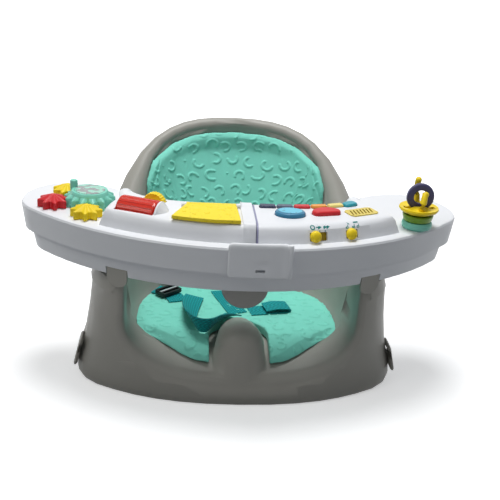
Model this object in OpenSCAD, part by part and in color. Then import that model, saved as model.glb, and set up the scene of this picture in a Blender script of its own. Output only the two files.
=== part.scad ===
// Floor seat for a baby: a moulded shell with foam pads and a lap harness, a clip-on
// tray, and two toy pods that stand on the tray.
// Millimetres, +Z up, front towards -Y, origin on the floor under the middle of the part.

/* [Shell] */
// Width of the base at its widest
base_w = 374; // [350:1:390]
// Reach of the base in front of the origin
base_front = 162; // [158:1:166]
// How far in front of the origin the base is widest
widest_y = 68; // [62:1:74]
// Height of the seat floor
seat_z = 52; // [48:1:56]
// Height of the armrests
arm_z = 150; // [146:1:156]
// Height of the back arch
arch_z = 269; // [250:1:290]
// Thickness of the rolled rim on the back arch
rim_t = 17; // [14:0.5:20]
// Thickness of the moulded wall
shell_wall = 4; // [3:0.5:5]
// Width of the leg opening between the front posts
opening_w = 272; // [260:1:276]
// Height of the ledge under the leg opening
ledge_z = 35; // [32:1:40]
// Radius that rounds the edge of the leg opening
opening_r = 13; // [8:1:16]
// Width of the pommel between the legs
pommel_w = 62; // [50:1:66]
// Height of the pommel above the floor
pommel_z = 91; // [80:1:100]
// Height of the rubber feet below the shell
foot_h = 1.2; // [1:0.1:2]
// Radius of a rubber foot
foot_r = 11; // [8:0.5:13]

/* [Foam pads] */
// Thickness of the foam
foam_t = 10; // [8:0.5:12]
// Width of the seat pad
seat_pad_w = 240; // [220:1:244]
// Width of the back pad
back_pad_w = 216; // [190:1:224]
// Height of the back pad's top edge
back_pad_z = 253; // [235:1:255]
// How far the middle of a pad stands above its edges
foam_crown = 2.4; // [1:0.1:3]

/* [Harness] */
// Width of the webbing
web_w = 25; // [20:0.5:28]
// Thickness of the webbing
web_t = 1.6; // [1.2:0.1:2]
// Length of the buckle
buckle_l = 40; // [36:1:46]

/* [Tray] */
// Width of the tray across both end lobes
tray_w = 526; // [510:1:540]
// Reach of the tray in front of the origin
tray_front = 187; // [184:1:190]
// Radius of the front edge
arc_r = 337; // [325:1:345]
// Radius of an end lobe
lobe_r = 54; // [50:1:58]
// Length of an end lobe behind its centre
lobe_len = 64; // [58:1:68]
// Height of the underside of the tray
tray_z = 152; // [152:0.5:156]
// Height of the tray's rim above its underside
tray_h = 26; // [22:0.5:30]
// How far the tray stands in from the pods
tray_inset = 12.5; // [10:0.5:15]
// Width of the belly cut-out
belly_w = 272; // [262:1:276]
// Reach of the belly cut-out's edge in front of the origin
belly_front = 95; // [90:1:98]
// Wall thickness of the tray and the pods
tray_wall = 2.5; // [2:0.1:3]

/* [Pods] */
// Height of the pods' side wall
pod_h = 32; // [28:0.5:36]
// Height of the raised deck on each pod
podium_h = 19; // [17:0.5:21]
// Distance from the pod's edge to the foot of the raised deck
podium_gap = 12; // [10:0.5:14]
// Where the two pods meet, to the right of the middle
seam_x = 6; // [4:0.5:8]
// Gap between the two pods
seam_gap = 0.8; // [0.6:0.1:1.5]
// Thickness of the front clip
clip_t = 4.5; // [4:0.1:5.5]
// Width of the front clip
clip_w = 70; // [64:1:76]
// How much deeper the front clip is than the pods' side wall
clip_over = 6; // [4:0.5:8]

/* [Gears] */
// Pitch between two teeth
tooth_pitch = 12; // [11.5:0.1:12.4]
// Teeth on the large gear
large_teeth = 14; // [14:1:14]
// Teeth on a small gear
small_teeth = 8; // [8:1:8]
// Height of a tooth outside its pitch circle
tooth_out = 2.8; // [2.4:0.1:3]
// Depth of a tooth inside its pitch circle
tooth_in = 3.4; // [3.2:0.1:3.8]
// Thickness of a gear
gear_t = 11; // [9:0.5:12]
// Radius of the gears' posts
post_r = 3.5; // [3:0.1:4]

/* [Roller] */
// Radius of the bead roller
roller_r = 17.5; // [15:0.5:18]
// Length of the bead roller
roller_l = 46; // [42:1:48]
// Radius of the ridged wheel
wheel_r = 13.5; // [12:0.5:14]
// Thickness of the ridged wheel
wheel_t = 9; // [7:0.5:10]

/* [Flap] */
// Width of the flap along its hinge
flap_w = 56; // [50:1:58]
// Depth of the flap from its hinge to its free edge
flap_d = 46; // [42:1:48]
// Thickness of the flap
flap_t = 4; // [3.4:0.1:4.4]

/* [Keys and buttons] */
// Length of one piano key
key_l = 18.6; // [16:0.1:19]
// Depth of one piano key
key_d = 9; // [7:0.5:10]
// How far a key or a button goes down
press = 1.5; // [1:0.1:2]
// Radius of a slide switch's knob
knob_r = 6.6; // [6:0.1:7]

/* [Spinner] */
// Radius of the saucer
saucer_r = 23; // [20:0.5:24]
// Radius of the two rings under the saucer
ring_r = 14; // [12:0.5:15]
// Outer radius of the ring that stands on the saucer
hoop_r = 16; // [14:0.5:17]

/* [Clearances] */
// Gap between hard pieces that move past each other
run_gap = 0.3; // [0.25:0.05:0.5]
// Gap between a pin and its bore, on the radius
pin_gap = 0.05; // [0.03:0.01:0.08]
// Gap between a foam pad and what it lies on
foam_gap = 0.3; // [0.2:0.05:0.4]
// Gap round a key, a button or a knob
key_gap = 0.5; // [0.4:0.05:0.8]
// Gap under a hard piece that rests on another
rest_gap = 0.2; // [0.1:0.05:0.3]

/* [Hidden] */
$fn = 28;

grey = "#96948c";
white = "#e2e4e8";
mint = "#7fcfb8";
teal = "#1fa5a5";
yellow = "#f0d42c";
red = "#cc2a30";
rubber = "#202224";

// ---------------------------------------------------------------- general shapes

function total(list, i = 0) = i >= len(list) ? 0 : list[i] + total(list, i + 1);
function mix(a, b, t) = a * (1 - t) + b * t;
function clamp01(t) = max(0, min(1, t));
function smooth(t) = let (u = clamp01(t)) u * u * (3 - 2 * u);
function unit(v) = v / norm(v);
function bezier(a, b, c, d, t) =
    a * pow(1 - t, 3) + 3 * b * t * pow(1 - t, 2) + 3 * c * t * t * (1 - t) + d * pow(t, 3);
function lift(points, z) = [for (p = points) [p.x, p.y, z]];

// A point of a superellipse whose front and back halves differ; t is in degrees from +X.
function oval_point(t, half, front, back, y0, power_f, power_b) =
    let (c = cos(t), s = sin(t), n = s < 0 ? power_f : power_b, depth = s < 0 ? front : back)
    [sign(c) * half * pow(abs(c), 2 / n), y0 + sign(s) * depth * pow(abs(s), 2 / n)];

// A closed outline, anticlockwise, moved inwards by d.
function inset(points, d) = let (n = len(points)) [for (i = [0:n - 1])
    let (p = points[i], a = unit(p - points[(i + n - 1) % n]), b = unit(points[(i + 1) % n] - p),
        na = [-a.y, a.x], nb = [-b.y, b.x])
    p + d * (na + nb) / max(0.4, 1 + na * nb)];

// Faces of a stack of closed rings with m points each; strip caps suit bent outlines.
function side_faces(rings, m) = [for (k = [0:rings - 2], i = [0:m - 1])
    let (j = (i + 1) % m, a = k * m, b = a + m) each [[a + i, b + j, a + j], [a + i, b + i, b + j]]];
function fan_cap(m, base, up) = [for (i = [1:m - 2])
    up ? [base, base + i + 1, base + i] : [base, base + i, base + i + 1]];
function strip_cap(m, base, up) = [for (i = [0:m / 2 - 2])
    let (a = base + i, b = a + 1, c = base + m - 2 - i, d = c + 1)
    each up ? [[a, c, b], [a, d, c]] : [[a, b, c], [a, c, d]]];

module skin(rings, strips = false) {
    m = len(rings[0]);
    n = len(rings);
    polyhedron([for (r = rings) each r], concat(side_faces(n, m),
        strips ? strip_cap(m, 0, false) : fan_cap(m, 0, false),
        strips ? strip_cap(m, (n - 1) * m, true) : fan_cap(m, (n - 1) * m, true)), convexity = 6);
}

// A tube along a path that is nowhere upright, with its own radius at each point.
module tube(path, radii, sides) {
    n = len(path);
    rings = [for (i = [0:n - 1])
        let (t = unit(path[min(i + 1, n - 1)] - path[max(i - 1, 0)]), u = unit(cross(t, [0, 0, 1])), v = cross(t, u))
        [for (k = [0:sides - 1]) path[i] + radii[i] * (u * cos(360 * k / sides) + v * sin(360 * k / sides))]];
    skin(rings);
}

// A solid between two grids of points, top over bottom.
module slab(top, bottom) {
    n = len(top);
    m = len(top[0]);
    b = n * m;
    grid = [for (i = [0:n - 2], j = [0:m - 2])
        let (p = i * m + j, q = p + m) each [[p, p + 1, q + 1], [p, q + 1, q],
            [b + p, b + q + 1, b + p + 1], [b + p, b + q, b + q + 1]]];
    ends = [for (j = [0:m - 2]) let (p = j, q = (n - 1) * m + j)
        each [[p, b + p, b + p + 1], [p, b + p + 1, p + 1], [q, q + 1, b + q + 1], [q, b + q + 1, b + q]]];
    sides = [for (i = [0:n - 2]) let (p = i * m, q = p + m - 1)
        each [[p, p + m, b + p + m], [p, b + p + m, b + p], [q, b + q, b + q + m], [q, b + q + m, q + m]]];
    polyhedron([for (r = concat(top, bottom)) each r], concat(grid, ends, sides), convexity = 6);
}

// A flat band of webbing along a route; each stop is [x, y, z, lean of the band in degrees].
module webbing(stops) {
    n = len(stops);
    at = [for (s = stops) [s.x, s.y, s.z]];
    frame = [for (i = [0:n - 1])
        let (t = unit(at[min(i + 1, n - 1)] - at[max(i - 1, 0)]), flat = unit(cross([0, 0, 1], t)), rise = cross(t, flat))
        let (a = stops[i][3]) [flat * cos(a) + rise * sin(a), rise * cos(a) - flat * sin(a)]];
    rings = [for (i = [0:n - 1]) [for (k = [[1, 1], [-1, 1], [-1, -1], [1, -1]])
        at[i] + frame[i][0] * k.x * web_w / 2 + frame[i][1] * k.y * web_t / 2]];
    skin(rings);
}

module rounded_box(size, r) {
    linear_extrude(size.z) hull() for (x = [-1, 1], y = [-1, 1])
        translate([x * (size.x / 2 - r), y * (size.y / 2 - r)]) circle(r, $fn = 16);
}

// ---------------------------------------------------------------- shell

shell_z = foot_h;                       // underside of the shell
base_back = tray_front + clip_t;        // the base reaches as far back as the clip does forward
arm_start = 10;                         // where the rim starts to rise behind the armrests
arch_y = base_back - 31;                // where the rim is highest
shell_points = 36;
belt_y = -85;

// Outer surface, by height: how far it draws in from the base's outline.
draw_side = [[0, 4], [4, 1], [10, 0], [40, 0], [60, 2], [90, 6.5], [116, 9], [150, 10], [185, 12],
    [216, 14], [240, 17], [270, 22], [300, 27]];
draw_front = [[0, 3], [4, 1], [10, 0], [35, 0], [60, 2], [150, 6], [300, 8]];
draw_back = [[0, 4], [4, 1], [10, 0], [60, 2], [150, 10], [216, 18], [270, 26], [300, 31]];
function outer_half(z) = base_w / 2 - lookup(z, draw_side);
function outer_front(z) = base_front - widest_y - lookup(z, draw_front);
function outer_back(z) = base_back + widest_y - lookup(z, draw_back);
function front_power(z) = lookup(z, [[40, 2.2], [120, 2.6]]);
back_power = 2.4;
function outer_ring(z, d = 0) = [for (i = [0:shell_points - 1])
    oval_point(360 * i / shell_points, outer_half(z) - d, outer_front(z) - d, outer_back(z) - d,
        -widest_y, front_power(z), back_power)];
function front_face(x, z) = -widest_y
    - outer_front(z) * pow(max(0, 1 - pow(abs(x) / outer_half(z), front_power(z))), 1 / front_power(z));

// Inner surface of the bucket, by height.
bucket_y = -60;
wall_in = [[0, 24], [6, 14], [18, 6], [48, 1], [78, -3], [98, -10], [118, -15], [133, -19]];
lean_back = [[0, 60], [18, 72], [48, 88], [98, 112], [133, 130], [164, 147], [190, 160]];
function inner_half(z) = min(opening_w / 2 - lookup(z - seat_z, wall_in), outer_half(z) - rim_t);
function inner_back(z) = min(lookup(z - seat_z, lean_back), outer_back(z) - widest_y - rim_t) - bucket_y;
inner_front = 62;
function inner_ring(z, d = 0) = [for (i = [0:shell_points - 1])
    oval_point(360 * i / shell_points, inner_half(z) + d, inner_front + d, inner_back(z) + d,
        bucket_y, 2.6, back_power)];
bucket_levels = [seat_z, seat_z + 3, seat_z + 8, seat_z + 18, 100, 130, 150, 170, 185, 216, 228, 240, 255, 270, 295];
// A point of the moulded wall, which is straight from one level to the next, moved inwards by d.
function wall_point(t, z, d) = let (f = lookup(z, [for (i = [0:len(bucket_levels) - 1]) [bucket_levels[i], i]]),
        i = min(floor(f), len(bucket_levels) - 2), a = bucket_levels[i], b = bucket_levels[i + 1])
    mix(oval_point(t, inner_half(a) - d, inner_front - d, inner_back(a) - d, bucket_y, 2.6, back_power),
        oval_point(t, inner_half(b) - d, inner_front - d, inner_back(b) - d, bucket_y, 2.6, back_power), f - i);
// Half width of the bucket at a depth and a height.
function bucket_half(y, z) = let (n = y < bucket_y ? 2.6 : back_power, depth = y < bucket_y ? inner_front : inner_back(z))
    inner_half(z) * pow(max(0, 1 - pow(abs(y - bucket_y) / depth, n)), 1 / n);

// Height of the rim's top by how far back it is, and the middle line of the rolled rim.
function rise(y) = let (t = clamp01((y - arm_start) / (arch_y - arm_start))) 0.6 * smooth(t) + 0.4 * t;
function rim_z(y) = mix(arm_z, arch_z, rise(y));
function outer_at(t, z) = oval_point(t, outer_half(z), outer_front(z), outer_back(z), -widest_y, front_power(z), back_power);
function inner_at(t, z) = oval_point(t, inner_half(z), inner_front, inner_back(z), bucket_y, 2.6, back_power);
function rim_stop(t, z) = let (a = outer_at(t, z), b = inner_at(t, z), m = (a + b) / 2, r = norm(a - b) / 2 + rim_proud)
    [m.x, m.y, rim_z(m.y) - r, r];
function settle(t, z, times) = let (s = rim_stop(t, z)) times == 0 ? s : settle(t, s.z, times - 1);
rim_proud = 0.5;
rim_start = -40;
rim_steps = 36;
rim_stops = [for (i = [0:rim_steps]) settle(mix(rim_start, 180 - rim_start, i / rim_steps), arm_z, 4)];
rim_path = [for (s = rim_stops) [s.x, s.y, s.z]];

// The side view of everything above the rim's middle.
module above_rim(lower = 0) {
    line = [for (i = [0:rim_steps / 2]) [rim_stops[i].y, rim_stops[i].z - lower]];
    last = line[rim_steps / 2];
    rotate([90, 0, 90]) linear_extrude(2 * base_w, center = true)
        polygon(concat([[-base_w, line[0].y]], line, [[base_w, last.y], [base_w, 2 * arch_z], [-base_w, 2 * arch_z]]));
}

// The leg opening seen from the front; it flares where it meets the front face.
opening_rise = 60;
function opening_ring(grow, depth, climb) = let (half = opening_w / 2 + grow, low = ledge_z + climb - grow,
        mid = ledge_z + opening_rise)
    concat([for (i = [0:20]) let (t = 360 - 180 * i / 20, p = oval_point(t, half, mid - low, mid - low, mid, 2.6, 2.6))
            [p.x, front_face(min(abs(p.x), outer_half(60) - 4), 60) + depth, p.y]],
        [[-half, front_face(half, 60) + depth, 2 * arch_z], [half, front_face(half, 60) + depth, 2 * arch_z]]);
module leg_opening(grow = 0) {
    flare = [for (a = [0:22.5:90]) [opening_r * (1 - sin(a)), opening_r * (1 - cos(a))]];
    front = opening_ring(grow + opening_r + 12, 0, 0);
    skin(concat([[for (p = front) [p.x, -base_front - 20, p.z]]],
        [for (f = flare) opening_ring(grow + f.x, f.y, f.y * 0.25)],
        [opening_ring(grow, 40, 10), opening_ring(grow, 75, seat_z - ledge_z + 2)]));
}

module pommel() {
    base = pommel_w / 2;
    top = base - 2;
    front = -base_front + base + 6;
    hull() {
        translate([0, front, ledge_z - 10]) cylinder(r1 = base + 3, r2 = base, h = 12, $fn = 20);
        translate([0, front, pommel_z - top]) sphere(top, $fn = 20);
        translate([0, front + 26, pommel_z - top - 5]) sphere(top - 3, $fn = 20);
        translate([0, front + 26, ledge_z]) cylinder(r = base - 2, h = 6, $fn = 20);
    }
}

module belt_loop(side) {
    out = 9;
    translate([side * (base_w / 2 - 1), belt_y, 0]) difference() {
        hull() for (y = [-11, 11], z = [20, 46])
            translate([side * (out - 6), y, z]) sphere(4, $fn = 12);
        translate([side * 1.1 - 2.9, -30, 33]) cube([5.8, 60, 11]);
    }
}

module hollow() {
    difference() {
        skin([for (z = [shell_z - 1, 10, 35, 60, 90, 120, 150, 190, 230, 270])
            lift(outer_ring(z, shell_wall), z)]);
        skin([for (z = [seat_z - shell_wall, seat_z + 8, seat_z + 20, 100, 150, 190, 230, 290])
            lift(inner_ring(z + shell_wall, shell_wall), z)]);
        above_rim(shell_wall);
        leg_opening(shell_wall + 1);
        at_feet() cylinder(r = foot_r + boss_wall, h = seat_z);
        ribs();
    }
}

// Stiffening ribs under the seat floor.
rib_t = 2.6;
rib_low = 8;
function rib_half(y) = outer_half(20) * pow(1 - pow((y + widest_y) / outer_back(20), back_power), 1 / back_power) - 2;
function rib_back(x) = -widest_y + outer_back(20) * pow(1 - pow(abs(x) / outer_half(20), back_power), 1 / back_power) - 2;
module rib(a, b, low, high) {
    hull() for (p = [a, b]) translate([p.x, p.y, low]) cylinder(d = rib_t, h = high - low, $fn = 8);
}
module ribs() {
    for (y = [-widest_y + 2, -4, 60, 124]) rib([-rib_half(y), y], [rib_half(y), y], rib_low, seat_z - shell_wall + 1);
    for (x = [-2, -1, 1, 2]) rib([x * 46, -widest_y + 2], [x * 46, rib_back(x * 46)], rib_low, seat_z - shell_wall + 1);
}

foot_x = 105;
boss_wall = 4;
foot_ys = [-120, 95];
module at_feet() for (x = [-1, 1], y = foot_ys) translate([x * foot_x, y, 0]) children();
module seat_shell() color(grey) {
    difference() {
        union() {
            difference() {
                union() {
                    difference() {
                        skin([for (z = [shell_z, 4, 10, 25, 40, 60, 90, 116, 150, 185, 216, 240, 270, 290])
                            lift(outer_ring(z), z)]);
                        skin([for (z = bucket_levels) lift(inner_ring(z), z)]);
                        above_rim();
                    }
                    tube(rim_path, [for (s = rim_stops) s[3]], 9);
                }
                leg_opening();
            }
            for (side = [-1, 1]) belt_loop(side);
            pommel();
        }
        hollow();
        at_feet() cylinder(r = foot_r + 0.2, h = foot_in);
        for (side = [-1, 1]) translate([side * (base_w / 2 - 1), belt_y, 0]) translate([side * 1.1 - 2.9, -30, 33]) cube([5.8, 60, 11]);
    }
}
foot_in = 5;
module foot(x, y) translate([x * foot_x, y, 0]) {
    cylinder(r1 = foot_r - 1, r2 = foot_r, h = 1);
    translate([0, 0, 1]) cylinder(r = foot_r, h = foot_in - 1);
}
module foot_front_left() color(rubber) foot(-1, foot_ys[0]);
module foot_front_right() color(rubber) foot(1, foot_ys[0]);
module foot_back_left() color(rubber) foot(-1, foot_ys[1]);
module foot_back_right() color(rubber) foot(1, foot_ys[1]);

// ---------------------------------------------------------------- foam pads

// Top of the moulded floor where the seat dips towards the leg opening.
function saddle(x, y) = let (depth = y - front_face(x, 60), mid = ledge_z + opening_rise,
        low = lookup(depth, [[0, ledge_z], [40, ledge_z + 10], [75, seat_z + 2]]))
    mid - (mid - low) * pow(max(0, 1 - pow(abs(x) / (opening_w / 2), 2.6)), 1 / 2.6);
function floor_z(x, y) = min(seat_z, saddle(x, y));

pad_cols = 20;
pad_rows = 14;
notch_half = pommel_w / 2 + 5;
pad_tip = base_front - 22;              // reach of the front lobes
function pad_front(x) = mix(-pad_tip, -widest_y - 8, pow(clamp01((abs(x) - notch_half) / (seat_pad_w / 2 - notch_half)), 1.6));
function pad_back(x, z) = bucket_y + (inner_back(z) - 6) * pow(max(0, 1 - pow(abs(x) / (inner_half(z) + 2), back_power)), 1 / back_power);
function pad_edge(u) = let (e = 1 - pow(abs(2 * u - 1), 6)) 0.45 + 0.55 * pow(max(0, e), 0.5);
function seat_pad_point(i, j, up) = let (
        u = i / pad_cols, v = j / pad_rows,
        half = up ? seat_pad_w / 2 : inner_half(seat_z) - 4,
        x = half * sin(90 * (2 * u - 1)) * 0.999,
        y0 = pad_front(x) + (up ? 0 : 3), y1 = pad_back(x, up ? seat_z + 8 : seat_z + 1),
        y = mix(y0, y1, (1 - cos(180 * v)) / 2),
        limit = bucket_half(y, up ? seat_z + 5 : seat_z) - pad_side,
        px = sign(x) * (y < -widest_y - 14 ? abs(x) : min(abs(x), limit)),
        low = floor_z(px, y) + foam_gap + 1.5 * smooth((-widest_y - 2 - y) / 14))
    [px, y, up ? low + foam_t * pad_edge(u) * pad_edge(v) + foam_crown * sin(180 * u) * sin(180 * v) : low];
pad_side = foam_gap + 4.8;
module seat_pad() color(mint) {
    difference() {
        slab([for (i = [0:pad_cols]) [for (j = [0:pad_rows]) seat_pad_point(i, j, true)]],
            [for (i = [0:pad_cols]) [for (j = [0:pad_rows]) seat_pad_point(i, j, false)]]);
        linear_extrude(2 * seat_z) union() {
            translate([0, -base_front + pommel_w / 2 + 32]) circle(notch_half);
            translate([-notch_half, -base_front]) square([2 * notch_half, pommel_w / 2 + 32]);
        }
    }
}

// The back pad follows the bucket's own corners, so it lies evenly on the wall.
back_low = seat_z + foam_t + foam_crown + 2;
back_step = 360 / shell_points;
back_turn = acos(pow(back_pad_w / 2 / inner_half(170), back_power / 2));
back_side = floor(back_turn / back_step);
back_turns = concat([90 - back_turn], [for (k = [-back_side:back_side]) 90 + k * back_step], [90 + back_turn]);
back_cols = len(back_turns) - 1;
back_rows = 9;
function back_point(i, j, up) = let (
        t = back_turns[i], rim = settle(t, arm_z, 4),
        drop = max(0, abs(i - back_cols / 2) - 2.6) / (back_cols / 2 - 2.6),
        high = min(rim.z - rim[3], back_pad_z) - 16 * drop * drop, low = back_low + 10 * drop * drop,
        u = i / back_cols, v = j / back_rows, z = mix(low, high, (1 - cos(180 * v)) / 2),
        d = foam_gap + (up ? foam_t * pad_edge(u) * pad_edge(v) + foam_crown * sin(180 * u) * sin(180 * v) : 0.35) + drop,
        p = wall_point(t, z, d))
    [p.x, p.y, z];
module back_pad() color(mint) {
    slab([for (i = [back_cols:-1:0]) [for (j = [0:back_rows]) back_point(i, j, true)]],
        [for (i = [back_cols:-1:0]) [for (j = [0:back_rows]) back_point(i, j, false)]]);
}

// ---------------------------------------------------------------- harness

strap_z = seat_z + foam_gap + foam_t + foam_crown + web_t / 2 + foam_gap + 0.2;
function lying(x, y, lean = 0, up = 0) = [x, y, strap_z + up + web_w / 2 * abs(sin(lean)), lean];

module crotch_strap() color(teal) webbing([lying(-4, -56, 8), lying(-10, -64, 18, 0.5), lying(-20, -76, 40), lying(-31, -92, 62),
    lying(-41, -101, 70), lying(-50, -99, 72), lying(-55, -88, 66), lying(-56, -70, 52), lying(-55, -48, 36), lying(-53, -24, 20),
    lying(-52, -4, 8)]);
module waist_strap_left() color(teal) webbing([lying(-103, 22), lying(-96, 18), lying(-88, 12), lying(-78, 0), lying(-73, -14)]);
module waist_strap_right() color(teal) webbing([lying(-18, 22), lying(-14, 8), lying(-6, -18), lying(0, -38), lying(3, -46, 0, 0.4)]);
// The loose end, folded back over itself and stitched; seen from the side.
fold_r = 2.4;
module strap_end() color(teal) translate([17, -39, strap_z - web_t / 2]) rotate([0, 0, 12]) translate([0, web_w / 2, 0]) rotate([90, 0, 0])
    linear_extrude(web_w) {
        polygon([[0, 0], [50, 0], [50, web_t], [26, web_t], [24, web_t + 0.6], [0, web_t]]);
        translate([50, fold_r]) difference() {
            circle(fold_r);
            circle(fold_r - web_t);
            translate([-2 * fold_r, -fold_r]) square([2 * fold_r, 2 * fold_r]);
        }
        polygon([[50, 2 * fold_r - web_t], [50, 2 * fold_r], [34, 2 * fold_r + 0.6], [20, web_t * 2 + 0.6], [20, web_t + 0.3], [24, web_t + 0.3], [34, 2 * fold_r + 0.6 - web_t]]);
    }
module strap_adjuster() color("#1b1c1f") translate([-86, 9, strap_z + web_t / 2 + foam_gap]) rotate([0, 0, -48]) difference() {
    rounded_box([20, web_w + 6, 5], 2.5);
    for (x = [-5, 5]) translate([x - 2, -web_w / 2, 1.4]) cube([4, web_w, 9]);
}
buckle_h = 11;
module buckle_body() color("#1b1c1f") translate([-6, 44, strap_z - web_t / 2 + 0.3]) {
    difference() {
        rounded_box([buckle_l * 0.62, web_w + 9, buckle_h], 4);
        translate([0, -web_w / 2 + 1, 2.5]) cube([buckle_l, web_w - 2, buckle_h - 5]);
        for (y = [-1, 1]) translate([1, y * (web_w / 2 + 4.5), -1]) cylinder(r = 4.2, h = buckle_h + 2);
    }
}
module buckle_tongue() color("#1b1c1f") translate([-6, 44, strap_z - web_t / 2 + 0.3]) {
    translate([2, -web_w / 2 + 1 + run_gap, 2.5 + run_gap]) cube([buckle_l * 0.31 - 1, web_w - 2 - 2 * run_gap, buckle_h - 5 - 2 * run_gap]);
    translate([buckle_l * 0.31 + 0.4, -web_w / 2 - 3, 1]) difference() {
        cube([buckle_l * 0.36, web_w + 6, buckle_h - 2]);
        translate([buckle_l * 0.18, 3, -1]) cube([4, web_w, buckle_h]);
    }
}

// ---------------------------------------------------------------- tray

pod_z = tray_z + tray_h;
deck_z = pod_z + pod_h;
top_z = deck_z + podium_h;
tray_c = arc_r - tray_front;
lobe_x = tray_w / 2 - lobe_r;
lobe_y = tray_c - sqrt(pow(arc_r - lobe_r, 2) - pow(lobe_x, 2));
lobe_ang = atan2(lobe_x, tray_c - lobe_y);
belly_y = -30;
belly_depth = belly_front + belly_y;
tray_floor = pod_z - 14;
tray_ledge = arm_z + rest_gap + 0.1;

function arc_point(r, a) = [r * sin(a), tray_c - r * cos(a)];
function corner_curve(t) = bezier([lobe_x, lobe_y + lobe_len], [lobe_x - 34, lobe_y + lobe_len],
    [belly_w / 2, belly_y + 35], [belly_w / 2, belly_y], t);
function belly_point(t, grow) = oval_point(t, belly_w / 2 + grow, belly_depth + grow, 1, belly_y, 3, 3);
function belly_line(x, grow) = belly_y - (belly_depth + grow) * pow(max(0, 1 - pow(abs(x) / (belly_w / 2 + grow), 3)), 1 / 3);

// Right half of the outline, from past the middle of the front edge round the lobe and back.
function outer_run(a0) = concat(
    [for (i = [0:11]) arc_point(arc_r, mix(a0, lobe_ang, i / 12))],
    [for (i = [0:11]) let (b = mix(lobe_ang, 180, i / 11), k = b < 90 ? lobe_r : lobe_len)
        [lobe_x + lobe_r * sin(b), lobe_y - k * cos(b)]],
    [for (i = [1:3]) corner_curve(0.2 * i)]);
function inner_run(t1) = concat([corner_curve(0.8)], [for (i = [0:23]) belly_point(mix(0, t1, i / 23), 0)]);
function flip(points) = [for (i = [len(points) - 1:-1:0]) [-points[i].x, points[i].y]];
half_outline = concat(outer_run(-6), inner_run(-98));
tray_outline = let (a = outer_run(0), b = flip(inner_run(-90))) concat(flip(a), [for (i = [1:len(a) - 1]) a[i]],
    inner_run(-90), [for (i = [1:len(b) - 1]) b[i]]);

module prism(points, low, high, d = 0) skin([lift(inset(points, d), low), lift(inset(points, d), high)], true);

tab_x = 144;
tab_y = -135.5;
tab_turn = 28;
tab_w = 26;
tab_t = 3;
module at_tab(side) translate([side * tab_x, tab_y, 0]) rotate([0, 0, side * tab_turn]) children();

module tray() color(white) {
    low = tray_inset + 3.5;
    difference() {
        union() {
            difference() {
                skin([for (p = [[tray_z, low + 1.5], [tray_z + 1.5, low], [pod_z - 8, tray_inset + 0.4], [pod_z - rest_gap, tray_inset]])
                    lift(inset(tray_outline, p[1]), p[0])], true);
                prism(tray_outline, tray_floor, pod_z + 1, tray_inset + tray_wall);
                prism(tray_outline, tray_z - 1, tray_floor - tray_wall, low + tray_wall + 0.6);
            }
            for (side = [-1, 1], k = [[4.5, -80], [10, -65], [15.5, -48], [21, -38]])
                let (a = arc_point(arc_r - tray_inset - 5, k[0]), b = belly_point(k[1], tray_inset + 5))
                    rib([side * a.x, a.y], [side * b.x, b.y], tray_z + 3, tray_floor - 1);
            // pads that rest on the armrests
            for (side = [-1, 1]) translate([side * 161.5 - 7, -104, tray_ledge]) cube([14, 78, tray_floor - tray_ledge - 1]);
        }
        for (side = [-1, 1]) at_tab(side) translate([-tab_w / 2 - 1, -tab_t / 2 - 8, tray_z - 2])
            cube([tab_w + 2, 8 + tab_t + 2.2, tray_floor - tray_wall - tray_z + 2]);
    }
}

tab_r = 27;
module tray_tab() color(grey) translate([0, -137, 0]) rotate([90, 0, 0]) linear_extrude(10) {
    difference() {
        translate([0, tray_z - 5]) circle(tab_r);
        translate([-tab_r - 1, tray_z - 5]) square([2 * tab_r + 2, tab_r + 1]);
    }
    translate([-tab_r, tray_z - 5]) square([2 * tab_r, tray_floor - tray_wall - tray_z + 5]);
}

module release_tab(side) at_tab(side) rotate([90, 0, 0]) translate([0, 0, -tab_t / 2]) linear_extrude(tab_t) {
    high = tray_floor - tray_wall - run_gap;
    difference() {
        translate([0, tray_z - 4]) scale([1, 0.75]) circle(tab_w / 2);
        translate([-tab_w, tray_z - 4]) square([2 * tab_w, tab_w]);
    }
    translate([-tab_w / 2, tray_z - 4]) square([tab_w, high - tray_z + 4]);
}
module release_tab_left() color(grey) release_tab(-1);
module release_tab_right() color(grey) release_tab(1);

// ---------------------------------------------------------------- pods

pod_taper = 4;
podium_reach = [165, 175];              // how far the raised deck goes, left and right
podium_rise = [[0, 0], [3, 8], [5.5, 14], [9, 17.5], [14, 19]];
roof_z = deck_z - 10;
seam_left = seam_x - seam_gap / 2;
seam_right = seam_x + seam_gap / 2;

function podium_ring(reach, d, b) = let (r = arc_r - podium_gap - d, a1 = asin((reach - d) / r), p0 = arc_point(r, a1),
        p3 = belly_point(-20, 1.5 + b))
    concat([for (i = [0:11]) arc_point(r, mix(-6, a1, i / 11))],
        [for (i = [1:4]) bezier(p0, p0 + [3, 15], p3 + [18 - d, -10], p3, i / 5)],
        [for (i = [0:15]) belly_point(mix(-20, -98, i / 15), 1.5 + b)]);

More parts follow.
